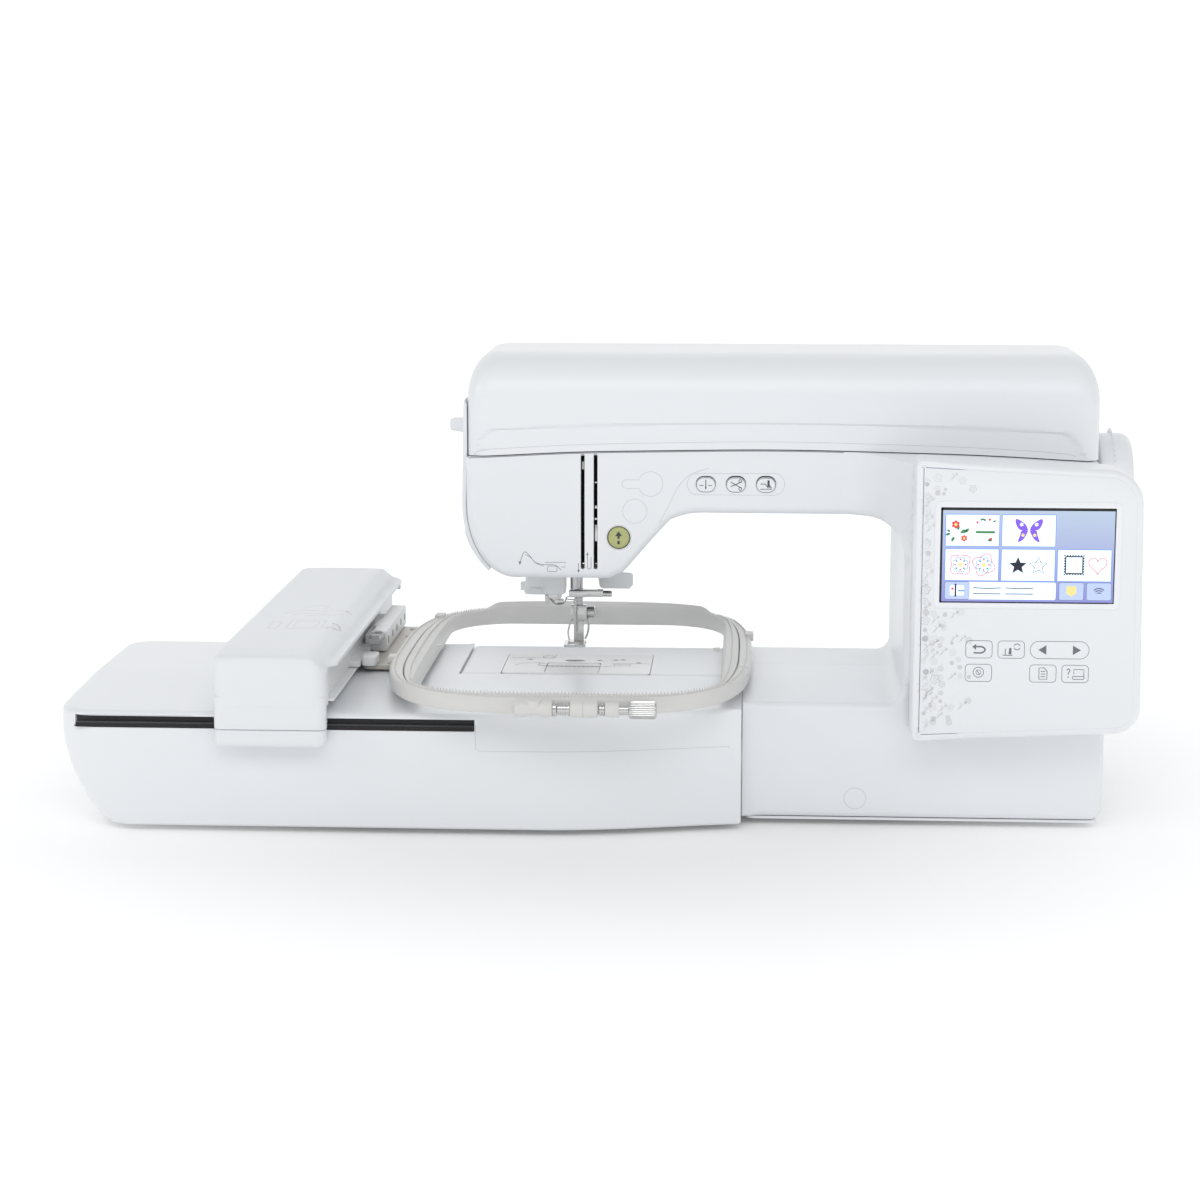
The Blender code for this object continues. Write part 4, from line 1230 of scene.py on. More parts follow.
def draw_borders(fill, line, x0, z0):
    """A square border and a heart."""
    frame_line = fine(rounded(x0 + 5.0, x0 + 15.6, z0 + 5.0, z0 + 15.6, 0.2, 1), 1.2)
    line("dark", frame_line, 0.7, True)
    for u, v in fine([(x0 + 4.4, z0 + 4.4), (x0 + 16.2, z0 + 4.4), (x0 + 16.2, z0 + 16.2),
                      (x0 + 4.4, z0 + 16.2)],
                     1.7):
        fill("dark", circle(u, v, 0.5, 6), 0.1)
    heart = [(24.8 + 5.6 * math.sin(t) ** 3,
              10.6 + 0.36 * (13 * math.cos(t) - 5 * math.cos(2 * t) - 2 * math.cos(3 * t) - math.cos(4 * t)))
             for t in (2 * math.pi * n / 40 for n in range(40))]
    line("red", [(x0 + u, z0 + v) for u, v in heart], 0.4, True)


def draw_keys(fill, line, a, low):
    """Marks on the keys below the cells."""
    fill("cell", rounded(a + 6.6, a + 15.4, low + 2.4, low + 8.8, 0.8, 2), 0.1)
    fill("dark", rounded(a + 9.6, a + 10.6, low + 1.6, low + 9.8, 0.2, 1), 0.12)
    fill("red", circle(a + 8.2, low + 6.6, 0.8, 10), 0.13)
    line("line", [(a + 11.6, low + 5.4), (a + 15.6, low + 5.4)], 0.9, film=0.12)
    for k in range(2):
        line("dark", wave([(a + 21 + 20 * k, low + 7.4), (a + 30 + 20 * k, low + 7.0),
                                              (a + 38 + 20 * k, low + 7.4)], 4), 0.5)
        line("dark", [(a + 21 + 20 * k, low + 3.6), (a + 38 + 20 * k, low + 3.6)], 0.5)
    fill("gold", [(a + 78.6, low + 4.2), (a + 81.6, low + 2.4), (a + 84.6, low + 4.2),
                                     (a + 84.6, low + 8.8), (a + 78.6, low + 8.8)], 0.1)
    for r in (1.6, 3.0, 4.4):
        line("dark", arc(a + 98.6, low + 3.2, r, r, 45, 135, 8), 0.55)


def panel_keys():
    """Outlined touch keys with plain pictograms."""
    bm = bmesh.new()
    row1, row2 = 124.6, 109.6
    keys = [(254.6, 271.0, row1), (274.6, 291.0, row1), (294.6, 331.0, row1), (254.6, 271.0, row2),
            (294.6, 311.0, row2), (314.6, 331.0, row2)]
    for x0, x1, z in keys:
        r = 5.4 if x1 - x0 > 20 else 2.4
        add_line(bm, lay_panel, rounded(x0, x1, z - 5.5, z + 5.5, r, 6), 0.32, closed=True)
    ink = lay_panel
    add_line(bm, ink, wave([(259.6, row1 + 1.6), (264.6, row1 + 1.6), (266.6, row1 - 0.2),
                            (264.6, row1 - 2.2),
                            (259.6, row1 - 2.2)], 5), 0.95)
    add_fill(bm, ink, [(261.0, row1 - 0.4), (261.0, row1 + 3.4), (258.6, row1 + 1.6)])
    add_line(bm, ink, [(277.6, row1 - 3.6), (283.6, row1 - 3.6)], 0.5)
    add_line(bm, ink, [(279.2, row1 - 3.2), (279.2, row1 + 0.6)], 0.5)
    add_fill(bm, ink, [(281.2, row1 - 3.0), (283.0, row1 - 3.0), (283.0, row1 + 1.0), (281.6, row1 + 1.0)])
    add_line(bm, ink, arc(286.4, row1 + 1.8, 1.9, 1.9, 20, 160, 8), 0.5)
    add_line(bm, ink, arc(286.4, row1 + 1.8, 1.9, 1.9, 200, 340, 8), 0.5)
    add_fill(bm, ink, [(304.6, row1 - 3.0), (304.6, row1 + 3.0), (299.6, row1)])
    add_fill(bm, ink, [(321.0, row1 - 3.0), (326.0, row1), (321.0, row1 + 3.0)])
    add_line(bm, ink, flower(262.8, row2 + 0.4, 3.3, 9, 0.06, 4), 0.4, closed=True)
    add_line(bm, ink, [(261.6, row2 + 1.8), (263.8, row2 - 1.2)], 0.4)
    add_line(bm, ink, circle(262.8, row2 + 0.4, 1.5, 14), 0.3, closed=True)
    add_line(bm, ink, [(300.4, row2 - 3.6), (305.4, row2 - 3.6), (305.4, row2 + 1.6), (303.6, row2 + 3.6),
                       (300.4, row2 + 3.6)], 0.5, closed=True)
    for k in range(3):
        add_line(bm, ink, [(301.5, row2 + 1.4 - 1.7 * k), (304.3, row2 + 1.4 - 1.7 * k)], 0.45)
    add_line(bm, ink, wave([(317.6, row2 + 2.2), (318.6, row2 + 3.2), (319.6, row2 + 2.0),
                            (318.6, row2 + 0.6),
                            (318.6, row2 - 0.6)], 4), 0.55)
    add_fill(bm, ink, circle(318.6, row2 - 2.0, 0.45, 8))
    add_line(bm, ink, rounded(321.2, 328.4, row2 - 3.4, row2 - 1.6, 0.5, 2), 0.4, closed=True)
    add_line(bm, ink, [(322.0, row2 - 0.2), (322.0, row2 + 2.8), (328.2, row2 + 2.8), (328.2, row2 - 1.4)],
             0.45)
    piece("panel_key_print", bm, "ink")


def draw_sprig(dice, light, dark, x, v, r):
    """One motif of the fascia's border: a solid flower, an outlined one or a leafy twig."""
    kind, turn = dice.random(), dice.uniform(0, 1)
    ink = dark if dice.random() < 0.35 else light
    if kind < 0.22:
        add_fill(ink, lay_panel, flower(x, v, r * 0.75, 8, 0.22, 4, turn))
        add_line(light, lay_panel, circle(x, v, r * 0.3, 10), 0.22, closed=True, film=0.09)
    elif kind < 0.68:
        add_line(ink, lay_panel, flower(x, v, r, 5, 0.3, 7, turn), 0.24, closed=True)
        add_line(ink, lay_panel, flower(x, v, r * 0.42, 5, 0.3, 5, turn), 0.2, closed=True)
    else:
        stem = wave([(x - 2, v - r), (x, v), (x + r * 0.8, v + r * 0.8), (x + r * 1.4, v + r)], 5)
        add_line(light, lay_panel, stem, 0.22)
        for n in range(3, len(stem), 4):
            add_line(light, lay_panel, leaf(*stem[n], r * 0.9, r * 0.42, 40 + 80 * (n % 8 > 3), 6), 0.2,
                     closed=True)


def panel_print():
    """A loose border of outlined and filled flowers, leaves and tendrils down the left side."""
    dice = random.Random(11)
    light, dark = bmesh.new(), bmesh.new()
    left, top, bottom = PANEL[0] + 4.5, PANEL[3] - 6.5, PANEL[2] + 9
    z = top
    while z > bottom:
        beside = LCD[2] - 6 < z < LCD[3] + 5
        for k in range(2 if beside else 6):
            r = dice.uniform(1.8, 3.4) if k < 2 else dice.uniform(1.4, 2.5)
            x, v = left + r + k * 5.6 + dice.uniform(-0.8, 1.4), z + dice.uniform(-1.8, 1.8)
            if dice.random() < 0.13 * k or not bottom - 2 < v < top - r or (beside and x + r > LCD[0] - 4.6):
                continue
            draw_sprig(dice, light, dark, x, v, r)
        z -= 5.0
    for k in range(11):
        v, side = bottom + 4 + k * 14.5, 1 if k % 2 else -1
        curl = [(left + 1.6 + 3.0 * math.sin(t), v + 3.2 * (1 - math.cos(t)) * side)
                for t in (0.0, 0.8, 1.6, 2.6, 3.6, 4.4)]
        add_line(light, lay_panel, wave(curl, 4), 0.24)
    piece("fascia_print_light", light, "petal")
    piece("fascia_print_mid", dark, "petal_dark")


# Embroidery unit ----------------------------------------------------------

def unit_front_y(x):
    return UNIT_FRONT + 29.5 * ease((x + 15) / 185)


def unit_outline():
    corner = 26.0
    front = [(x, unit_front_y(x)) for x in range(-250, 110, 10)] + [(SEAM_X - 0.4, unit_front_y(SEAM_X))]
    return fine(arc(UNIT_LEFT + corner, UNIT_FRONT + corner, corner, corner, 180, 270, 14) + front
                + [(SEAM_X - 0.4, CREASE_Y - 0.2), (NOTCH_X, CREASE_Y - 0.2), (NOTCH_X, UNIT_BACK)]
                + arc(UNIT_LEFT + 18, UNIT_BACK - 18, 18, 18, 90, 180, 10), 6.0)


def bend_unit(p):
    """Slanted left wall, tucked foot, leaning front and sloping top."""
    x, y, z = p
    left = ease((-225 - x) / 100)
    down = min(1.0, max(0.0, (BED_Z - z) / (BED_Z - FLOOR_Z)))
    x += left * (26.0 * down ** 2.4 + 1.5 * min(1.0, max(0.0, (z - 70) / 14)))
    front = ease((-y - 100) / 40)
    if x < SEAM_X - 2 or y < -100:
        y += front * (0.0042 * max(0.0, 30.0 - z) ** 2 + 0.06 * max(0.0, z - CREASE_Z)) * min(
            1.0, max(0.0, (SEAM_X + 14 - x) / 16))
    weight = min(1.0, max(0.0, (z - CREASE_Z) / (BED_Z - CREASE_Z)))
    z -= bed_drop(p[1]) * weight
    return Vector((x, y, z))


def unit_shell():
    outline = unit_outline()

    def radius(x, y):
        if x > SEAM_X - 1.5 or (x > NOTCH_X - 1 and y > CREASE_Y - 1):
            return 0.3
        return 0.3 + 3.9 * ease((SEAM_X - x) / 14.0) if y < 0 else 4.2
    bm = bmesh.new()
    levels = [FLOOR_Z, 5.5, 9, 14, 20, 27, 35, 44, CREASE_Z, 62]
    bottom = [bm.verts.new((x, y, levels[0])) for x, y in inset(outline, 1.5)]
    loops = [bottom] + [[bm.verts.new((x, y, z)) for x, y in outline] for z in levels[1:]]
    for k in range(7):
        turn = math.pi / 2 * k / 6
        edge = inset(outline, lambda u, v: radius(u, v) * (1 - math.cos(turn)))
        loops.append([bm.verts.new((x, y, BED_Z - radius(*was) * (1 - math.sin(turn))))
                      for (x, y), was in zip(edge, outline)])
    for low, high in zip(loops, loops[1:]):
        bridge(bm, low, high)
    cap(bm, loops[-1], edge, "z", lambda x, y: BED_Z, 9.0)
    cap(bm, loops[0], [(v.co.x, v.co.y) for v in loops[0]], "z", lambda x, y: FLOOR_Z, 24.0)
    shell = piece("unit_shell", bm, "white", stands_for=("unit_lower_casing", "unit_top_cover"),
                  wall=sizes().wall / MM, bend=bend_unit)
    carve(shell, (SLOT[0], SLOT[1], UNIT_FRONT - 8, UNIT_FRONT + 7, SLOT[2], SLOT[3]))
    bars("slot_bristles", [(SLOT[0] + 2, UNIT_FRONT + 3.4, SLOT[2] + 0.6), (SLOT[1] - 2, UNIT_FRONT + 3.4,
         SLOT[2] + 0.6)], sizes().bristle_pitch / MM, (0.7, 0.7, 5.4), "brush", False, 0.2, 0.16)
    bm = bmesh.new()

    def lay(u, v, lift):
        p = bend_unit(Vector((u, unit_front_y(u), v)))
        return (p.x, p.y - lift, p.z)
    # painted shade: grey lines for the shadow gap round the flap and a line under the top edge on the left
    flap = [(-53.0, 76.5), (-53.0, 58.0), (-50.5, 56.5)] + [(x, 56.5) for x in range(-44, 114, 8)]
    add_line(bm, lay, flap, 0.3)
    add_line(bm, lay, [(x, 81.0) for x in range(-306, -228, 6)], 0.2)
    piece("unit_flap_line", bm, "faint")
    bm = bmesh.new()
    # painted shade: a dark plate behind the slot so that it reads as the shade inside the unit
    add_box(bm, SLOT[0] + 0.6, SLOT[1] - 0.6, UNIT_FRONT + 6.2, UNIT_FRONT + 9.0, SLOT[2] - 1.5,
            SLOT[3] + 1.5, 0.4)
    piece("slot_back", bm, "dark")


# Carriage arm, holder and hoop ---------------------------------------------

def arm_top(x, y):
    """The lid of the arm: a shallow crown that falls to the lip on the right."""
    x0, x1, y0, y1 = ARM
    across = (x - x0) / (x1 - x0)
    fall = 7.5 * ease((across - 0.80) / 0.14) ** 1.2
    return (ARM_TOP - 0.5 - fall - 1.2 * ease((y0 + 22 - y) / 22)
            + 0.5 * math.sin(math.pi * min(1, across * 1.2)))


def carriage_arm():
    x0, x1, y0, y1 = ARM
    lip = x1 - 5.0
    outline = fine(arc(x0 + 8.5, y0 + 8.5, 8.5, 8.5, 180, 270, 8) + arc(lip - 8.5, y0 + 8.5, 8.5, 8.5, 270,
                                                                        360, 8)
                   + [(lip, y0 + 15), (x1, y0 + 21)] + arc(x1 - 8.5, y1 - 8.5, 8.5, 8.5, 0, 90, 8)
                   + arc(x0 + 8.5, y1 - 8.5, 8.5, 8.5, 90, 180, 8), 6.0)

    def radius(x, y):
        return 1.0 + 3.6 * ease((x1 - 3 - x) / 6) if y > y0 + 12 else 4.6
    bm = relief(outline, "z", arm_top, ARM_RIM, radius, 6.0, 1, walls=(lambda front: ARM_RIM + 8,))
    shell = piece("arm_shell", bm, "satin", "arm", "arm_cover", wall=sizes().wall / MM)
    carve(shell, (x1 - 6, x1 + 3, y0 + 13, y1 - 4, ARM_RIM - 2, 109.6),
          (-190.0, x1 + 3, y1 - 12, y1 + 3, ARM_RIM - 2, 104.4))
    bm = bmesh.new()
    box = fine(rounded(x0 + 0.3, lip - 0.3, y0 + 0.3, y0 + 12.4, 5.0, 6), 6.0)
    add_prism(bm, box, "z", 71.6, ARM_RIM + 6, 0.5)
    piece("arm_front_upper", bm, "satin", "arm")
    bm = bmesh.new()
    add_loft(bm, [[(x, y, z) for x, y in inset(box, k)] for z, k in
                  ((60.0, 3.2), (60.6, 1.6), (61.8, 0.6), (63.4, 0.1), (65, 0), (70.4, 0), (70.9, 0.3),
                   (71.2, 0.9))])
    piece("arm_front_lower", bm, "satin", "arm")
    bm = bmesh.new()
    bracket = [(-171.5 + 0.6, 62), (-158, 62), (-158, 72), (-146, 72), (-146, 44.6), (-112, 44.6),
               (-112, 75.4), (-158, 75.4), (-158, 84.8), (162, 84.8), (162, 87.2), (-161, 87.2), (-161, 71),
               (-170.9, 71)]
    add_prism(bm, bracket, "x", x0 + 3.2, x1 - 7, 0.4, 2)
    piece("arm_frame", bm, "satin", "arm", "arm_base")
    bm = bmesh.new()
    add_box(bm, x1 - 10.2, x1 - 7.4, y0 + 14, y1 - 6, 88.0, 108.6, 0.4)
    add_box(bm, x1 - 9.6, x1 - 2.0, y0 + 16, y1 - 8, 87.4, 89.0, 0.3)
    piece("arm_side_web", bm, "grey", "arm")
    arm_print()


def arm_print():
    """Line drawing on the arm: an open hand lifting a hoop frame."""
    def lay(u, v, lift):
        return (u, v, arm_top(u, v) + lift)
    bm = bmesh.new()
    add_line(bm, lay, wave([(-196, -28), (-190, -20), (-182, -16), (-172, -18), (-160, -14), (-152, -16)],
                           6), 0.5)
    add_line(bm, lay, wave([(-190, -34), (-184, -28), (-176, -27), (-166, -25)], 6), 0.45)
    add_line(bm, lay, wave([(-180, -38), (-172, -33), (-163, -32), (-156, -27)], 6), 0.45)
    add_line(bm, lay, wave([(-186, -8), (-182, -1), (-175, 2), (-170, -2), (-172, -9)], 6), 0.4)
    add_line(bm, lay, rounded(-186, -163, -84, -52, 3, 4), 0.5, closed=True)
    add_line(bm, lay, rounded(-182, -167, -79, -57, 2, 4), 0.4, closed=True)
    add_line(bm, lay, [(-198, -84), (-198, -60), (-192, -60), (-192, -84)], 0.5, closed=True)
    add_line(bm, lay, wave([(-158, -62), (-152, -66), (-152, -74), (-158, -78)], 6), 0.5)
    add_fill(bm, lay, [(-158, -75), (-158, -81), (-161.5, -78)])
    piece("arm_line_drawing", bm, "petal", "arm")


def holder():
    bm = bmesh.new()
    add_box(bm, -188, -140.8, -57, -1.2, 89.4, 93.0, 0.6)
    add_box(bm, -188, -140.8, 3.2, 103, 89.4, 93.0, 0.6)
    add_box(bm, -140.4, -130.2, -0.8, 102.8, 89.3, 103.6, 1.0)
    add_box(bm, -146.0, -140.6, 6, 60, 92.6, 100.0, 0.8)
    add_box(bm, -150.0, -140.6, 66, 98, 92.6, 98.0, 0.8)
    add_box(bm, -141.8, -131.6, 20, 44, 103.2, 103.8, 0.3)
    add_prism(bm, rounded(-140.2, -130.4, -54, -34, 3, 4), "z", 89.6, 96.0, 0.8)
    piece("holder_block", bm, "grey", "holder", "holder_carriage")
    bm = bmesh.new()
    for y in (8, 30, 52, 74, 94):
        add_turned(bm, "x", (y, 96.6), [(-130.3, 2.6), (-129.95, 2.4), (-129.9, 1.2), (-130.1, 0.8)], 20)
    piece("holder_pins", bm, "mid_grey", "holder")
    bm = bmesh.new()
    plate = fine(rounded(-140.3, HOOP_MIDDLE[0] - HOOP_REACH[0] - 0.5, -45, 98, 4, 6), 12.0)
    add_prism(bm, plate, "z", 85.5, 88.7, 0.5)
    for y in (-38, -18, 60, 88):
        add_turned(bm, "z", (-122, y), [(88.4, 3.4), (89.3, 3.2), (89.5, 2.6)], 20)
    add_box(bm, -139.5, -136.8, -30, 96, 88.5, 90.0, 0.4)
    piece("hoop_carrier", bm, "bracket", "holder", "hoop_bracket")
    bm = bmesh.new()
    lever = fine([(-139.2, -29.8), (-130.8, -29.8)] + arc(-135, -6, 4.2, 4.2, 0, 180, 12), 4.0)
    add_prism(bm, lever, "z", 99.2, 103.4, 0.9)
    add_turned(bm, "z", (-135, -26.5), [(103.0, 3.4), (105.4, 3.3), (105.9, 2.8), (106.0, 1.6)], 24)
    add_turned(bm, "z", (-135, -6), [(103.2, 2.4), (104.4, 2.4), (104.6, 2.0)], 24)
    piece("frame_release_lever", bm, "mid_grey", "frame_lever", "frame_lever")


def hoop_loop(t):
    """An outline between the hoop's bowed outer side, t 0, and its straight-sided opening, t 1."""
    (cx, cy), (side, front, back) = HOOP_MIDDLE, HOOP_REACH
    loop = []
    for x, y in fine(rounded(*HOOP_OPENING, HOOP_CORNER, 14), 8.0):
        full = (abs((x - cx) / side) ** HOOP_FULLNESS
                + abs((y - cy) / (front if y < cy else back)) ** HOOP_FULLNESS)
        out = 1 + (full ** (-1 / HOOP_FULLNESS) - 1) * (1 - t)
        loop.append((cx + (x - cx) * out, cy + (y - cy) * out))
    return loop


def hoop_rise(x, y):
    """The wall stands higher along the back."""
    return 5.0 * ease((y - 96) / 14) * ease((84 - abs(x - 10)) / 9)


def hoop_rings():
    low, top = HOOP_Z
    share = 0.42
    outer = [(0.02, low + 0.4), (0.0, low + 1.2), (0.0, top - 2.0), (0.03, top - 0.6), (0.09, top + 0.3),
             (0.30, top + 0.4), (share - 0.03, top + 0.1), (share - 0.015, top - 0.5),
             (share - 0.015, low + 0.3),
             (0.06, low)]
    loft_ring("hoop_outer", outer, "hoop_outer_ring")
    inner = [(share + 0.015, low + 0.3), (share + 0.015, top - 0.2), (share + 0.04, top + 0.5),
             (share + 0.10, top + 0.7), (0.80, top + 0.6), (0.86, top + 0.1), (0.93, top - 3.4),
             (0.99, low + 0.8),
             (0.98, low + 0.1), (share + 0.06, low)]
    loft_ring("hoop_inner", inner, "hoop_inner_ring")
    ribs = [(x, y, top + 0.55) for x, y in hoop_loop(0.16)]
    bars("hoop_outer_ribs", ribs, sizes().rib_pitch / MM, (0.55, 2.6, 0.5), "hoop", True, 0.36,
         body="holder")
    ribs = [(x, y, top + 0.85) for x, y in hoop_loop(0.66)]
    bars("hoop_inner_ribs", ribs, sizes().rib_pitch / MM, (0.55, 3.4, 0.5), "hoop", True, 0.36,
         body="holder")
    hoop_fittings()


def loft_ring(name, profile, node):
    low, top = HOOP_Z
    rings = []
    for t, z in profile:
        lift = max(0.0, z - low - 1.5) / (top - low) * (1.0 if t < 0.6 else 0.45)
        rings.append([(x, y, z + lift * hoop_rise(x, y)) for x, y in hoop_loop(t)])
    piece(name, loft(rings, closed=True), "hoop", "holder", node, crease=45)


def hoop_fittings():
    low, top = HOOP_Z
    bm = bmesh.new()
    front = HOOP_MIDDLE[1] - HOOP_REACH[1]
    add_box(bm, 116.5, 122.4, 24, 36, top - 3, top + 2.2, 0.9)
    add_box(bm, -107.0, -100.0, 84, 95, top - 3, top + 2.4, 0.9)
    add_box(bm, -121.0, -115.0, -64, -54, top - 4, top + 1.0, 0.8)
    add_box(bm, 113.0, 119.0, -84, -74, top - 4, top + 1.0, 0.8)
    for x, y, turn in ((HOOP_OPENING[0] + 3.0, -22, 0), (6.0, HOOP_OPENING[3] - 3.0, -90),
                       (98.0, -22, 180)):
        a = math.radians(turn)
        mark = [(x + u * math.cos(a) - v * math.sin(a), y + u * math.sin(a) + v * math.cos(a))
                for u, v in ((2.6, 0), (-1.6, 2.6), (-1.6, -2.6))]
        add_loft(bm, [[(u, v, z) for u, v in mark] for z in (top - 1.4, top + 1.1)])
    c = (SCREW_Y, SCREW_Z)
    add_turned(bm, "x", c, [(-24.8, 4.2), (-24.2, 5.0), (-23.0, 5.3), (-19.0, 5.2), (-15.5, 4.4),
                            (-12.9, 4.1),
                            (-10.3, 4.4), (-6.8, 5.2), (-2.8, 5.3), (-1.6, 5.0), (-1.0, 4.2)], 32)
    add_turned(bm, "x", c, [(9.6, 4.2), (10.2, 5.0), (11.2, 5.3), (17.6, 5.3), (17.9, 4.9), (18.2, 5.3),
                            (25.4, 5.3),
                            (26.4, 5.0), (27.0, 4.2)], 32)
    for x0, x1 in ((-24.6, -1.2), (9.8, 26.8)):
        add_box(bm, x0, x1, SCREW_Y + 1.5, front + 5.0, low + 0.5, top - 0.2, 0.8)
    add_turned(bm, "z", (-12.9, SCREW_Y), [(SCREW_Z + 1.0, 4.6), (top + 0.2, 4.6), (top + 0.6, 4.2)], 28)
    piece("hoop_clamp_blocks", bm, "hoop", "holder", "hoop_clamp")
    clamp_screw()


def clamp_screw():
    """The sleeve, screw, spacer and knurled head of the hoop's clamp."""
    bm = bmesh.new()
    c = (SCREW_Y, SCREW_Z)
    add_turned(bm, "x", c, [(-1.0, 4.2), (-0.6, 4.6), (1.2, 4.6), (1.6, 4.2)], 28)
    add_turned(bm, "x", c, [(2.0, 3.4), (8.8, 3.4)], 24)
    add_turned(bm, "x", c, [(8.8, 4.4), (9.5, 4.4)], 24)
    for x in (3.2, 4.8, 6.4):
        add_turned(bm, "x", c, [(x, 3.9), (x + 0.8, 3.9)], 24)
    piece("hoop_clamp_sleeve", bm, "nickel", "holder")
    bm = bmesh.new()
    profile = [(-10, 1.9)] + [(-9.6 + 0.4 * i, 1.95 if i % 2 else 2.15) for i in range(90)]
    add_turned(bm, "x", c, profile + [(27.4, 2.0), (27.6, 3.0), (28.0, 4.0), (29.2, 4.0), (29.4, 3.4),
                                      (30.0, 3.4),
                                      (30.2, 4.2), (31.0, 4.2), (31.2, 3.2), (45.8, 3.2)], 24)
    add_turned(bm, "x", c, [(46.0, 3.0), (46.2, 4.9), (46.6, 5.15), (62.2, 5.15), (62.7, 4.9), (63.0, 4.2),
                            (62.6, 3.4), (62.6, 0.1)], 40)
    piece("hoop_screw_metal", bm, "nickel", "hoop_screw", "hoop_screw")
    bm = bmesh.new()
    add_turned(bm, "x", c, [(31.2, 3.2), (31.4, 4.5), (31.8, 4.8), (39.6, 4.8), (40.0, 4.5), (40.1, 3.2)],
               32)
    piece("hoop_screw_spacer", bm, "hoop", "hoop_screw")
    bm = bmesh.new()
    for i in range(26):
        t = 2 * math.pi * i / 26
        y, z = SCREW_Y + 5.2 * math.cos(t), SCREW_Z + 5.2 * math.sin(t)
        add_turned(bm, "x", (y, z), [(46.9, 0.3), (47.2, 0.45), (61.9, 0.45), (62.2, 0.3)], 6)
    piece("hoop_screw_knurl", bm, "nickel", "hoop_screw")


# Needle area ----------------------------------------------------------------

def needle_area():
    bm = bmesh.new()
    add_prism(bm, [(-4.0, -4.6), (7, -4.6), (9, -3), (19.4, -2.4), (19.4, 2.4), (9, 3), (7, 4.6),
                   (-4.0, 4.6)], "z",
              129.2, 134.0, 0.6)
    add_turned(bm, "x", (0, 131.2), [(18.8, 1.4), (19.4, 2.1), (25.0, 2.1), (25.4, 1.7), (25.4, 0.4)], 24)
    piece("needle_clamp_body", bm, "nickel", "needle_bar", "needle_clamp")
    bm = bmesh.new()
    add_turned(bm, "z", (1.5, 6.2), [(127.4, 0.35), (136.0, 0.35)], 8)
    add_tube(bm, wave([(-3.6, -3.0, 129.6), (-6.0, -4.5, 129.0), (-4.5, -5.5, 128.0), (-1.0, -5.0, 127.9),
                       (0.5, -4.0, 128.4)], 6), 0.35, 8)
    piece("needle_thread_guides", bm, "nickel", "needle_bar")
    embroidery_foot()
    threader_parts()


def embroidery_foot():
    """The foot on its shank, and the lever that lifts it."""
    bm = bmesh.new()
    foot_outer = rounded(-7.4, 7.4, -8.9, 12.4, 3.0, 5)
    foot_inner = rounded(-3.9, 3.9, -6.4, 3.0, 3.2, 5)
    add_loft(bm, [[(x, y, z) for x, y in loop] for loop, z in
                  ((foot_outer, 95.2), (foot_outer, 96.8), (foot_inner, 96.8),
                   (foot_inner, 95.2))], closed=True)
    add_box(bm, -1.4, 5.4, 8.3, 12.1, 96.6, 112, 0.5)
    add_box(bm, -3.4, 7.6, 6.0, 12.6, 111, 122.0, 0.8)
    add_turned(bm, "x", (10, 116.5), [(7.4, 3.4), (8.2, 4.2), (12.6, 4.2), (13.2, 3.6), (13.2, 1.2)], 24)
    add_tube(bm, wave([(6.4, 8.6, 98.0), (8.6, 8.6, 104.0), (8.4, 8.6, 112.0), (5.2, 9.0, 118.0)], 5), 0.8,
             8)
    add_tube(bm, wave([(-4.6, 9.0, 97.2), (-5.4, 9.0, 103.0), (-3.0, 9.4, 112.4)], 5), 0.6, 8)
    piece("embroidery_foot", bm, "nickel", "presser", "presser_foot")
    bm = bmesh.new()
    px, pz = 11.0, 158.0
    handle = [(px - 4.8, pz - 6), (14.2, 142), (15.6, 132.6), (17.6, 131.1), (36.2, 131.1), (38.8, 133.6),
              (38.8, 140.6), (37.4, 141.9), (22, 142.8), (px + 5.8, pz - 6), (px + 5.8,
                                                                              pz + 4.8), (px - 4.8, pz + 4.8)]
    add_prism(bm, handle, "y", 20.2, 25.8, 1.4)
    piece("lifter_lever", bm, "frosted", "presser_lever", "presser_lever")


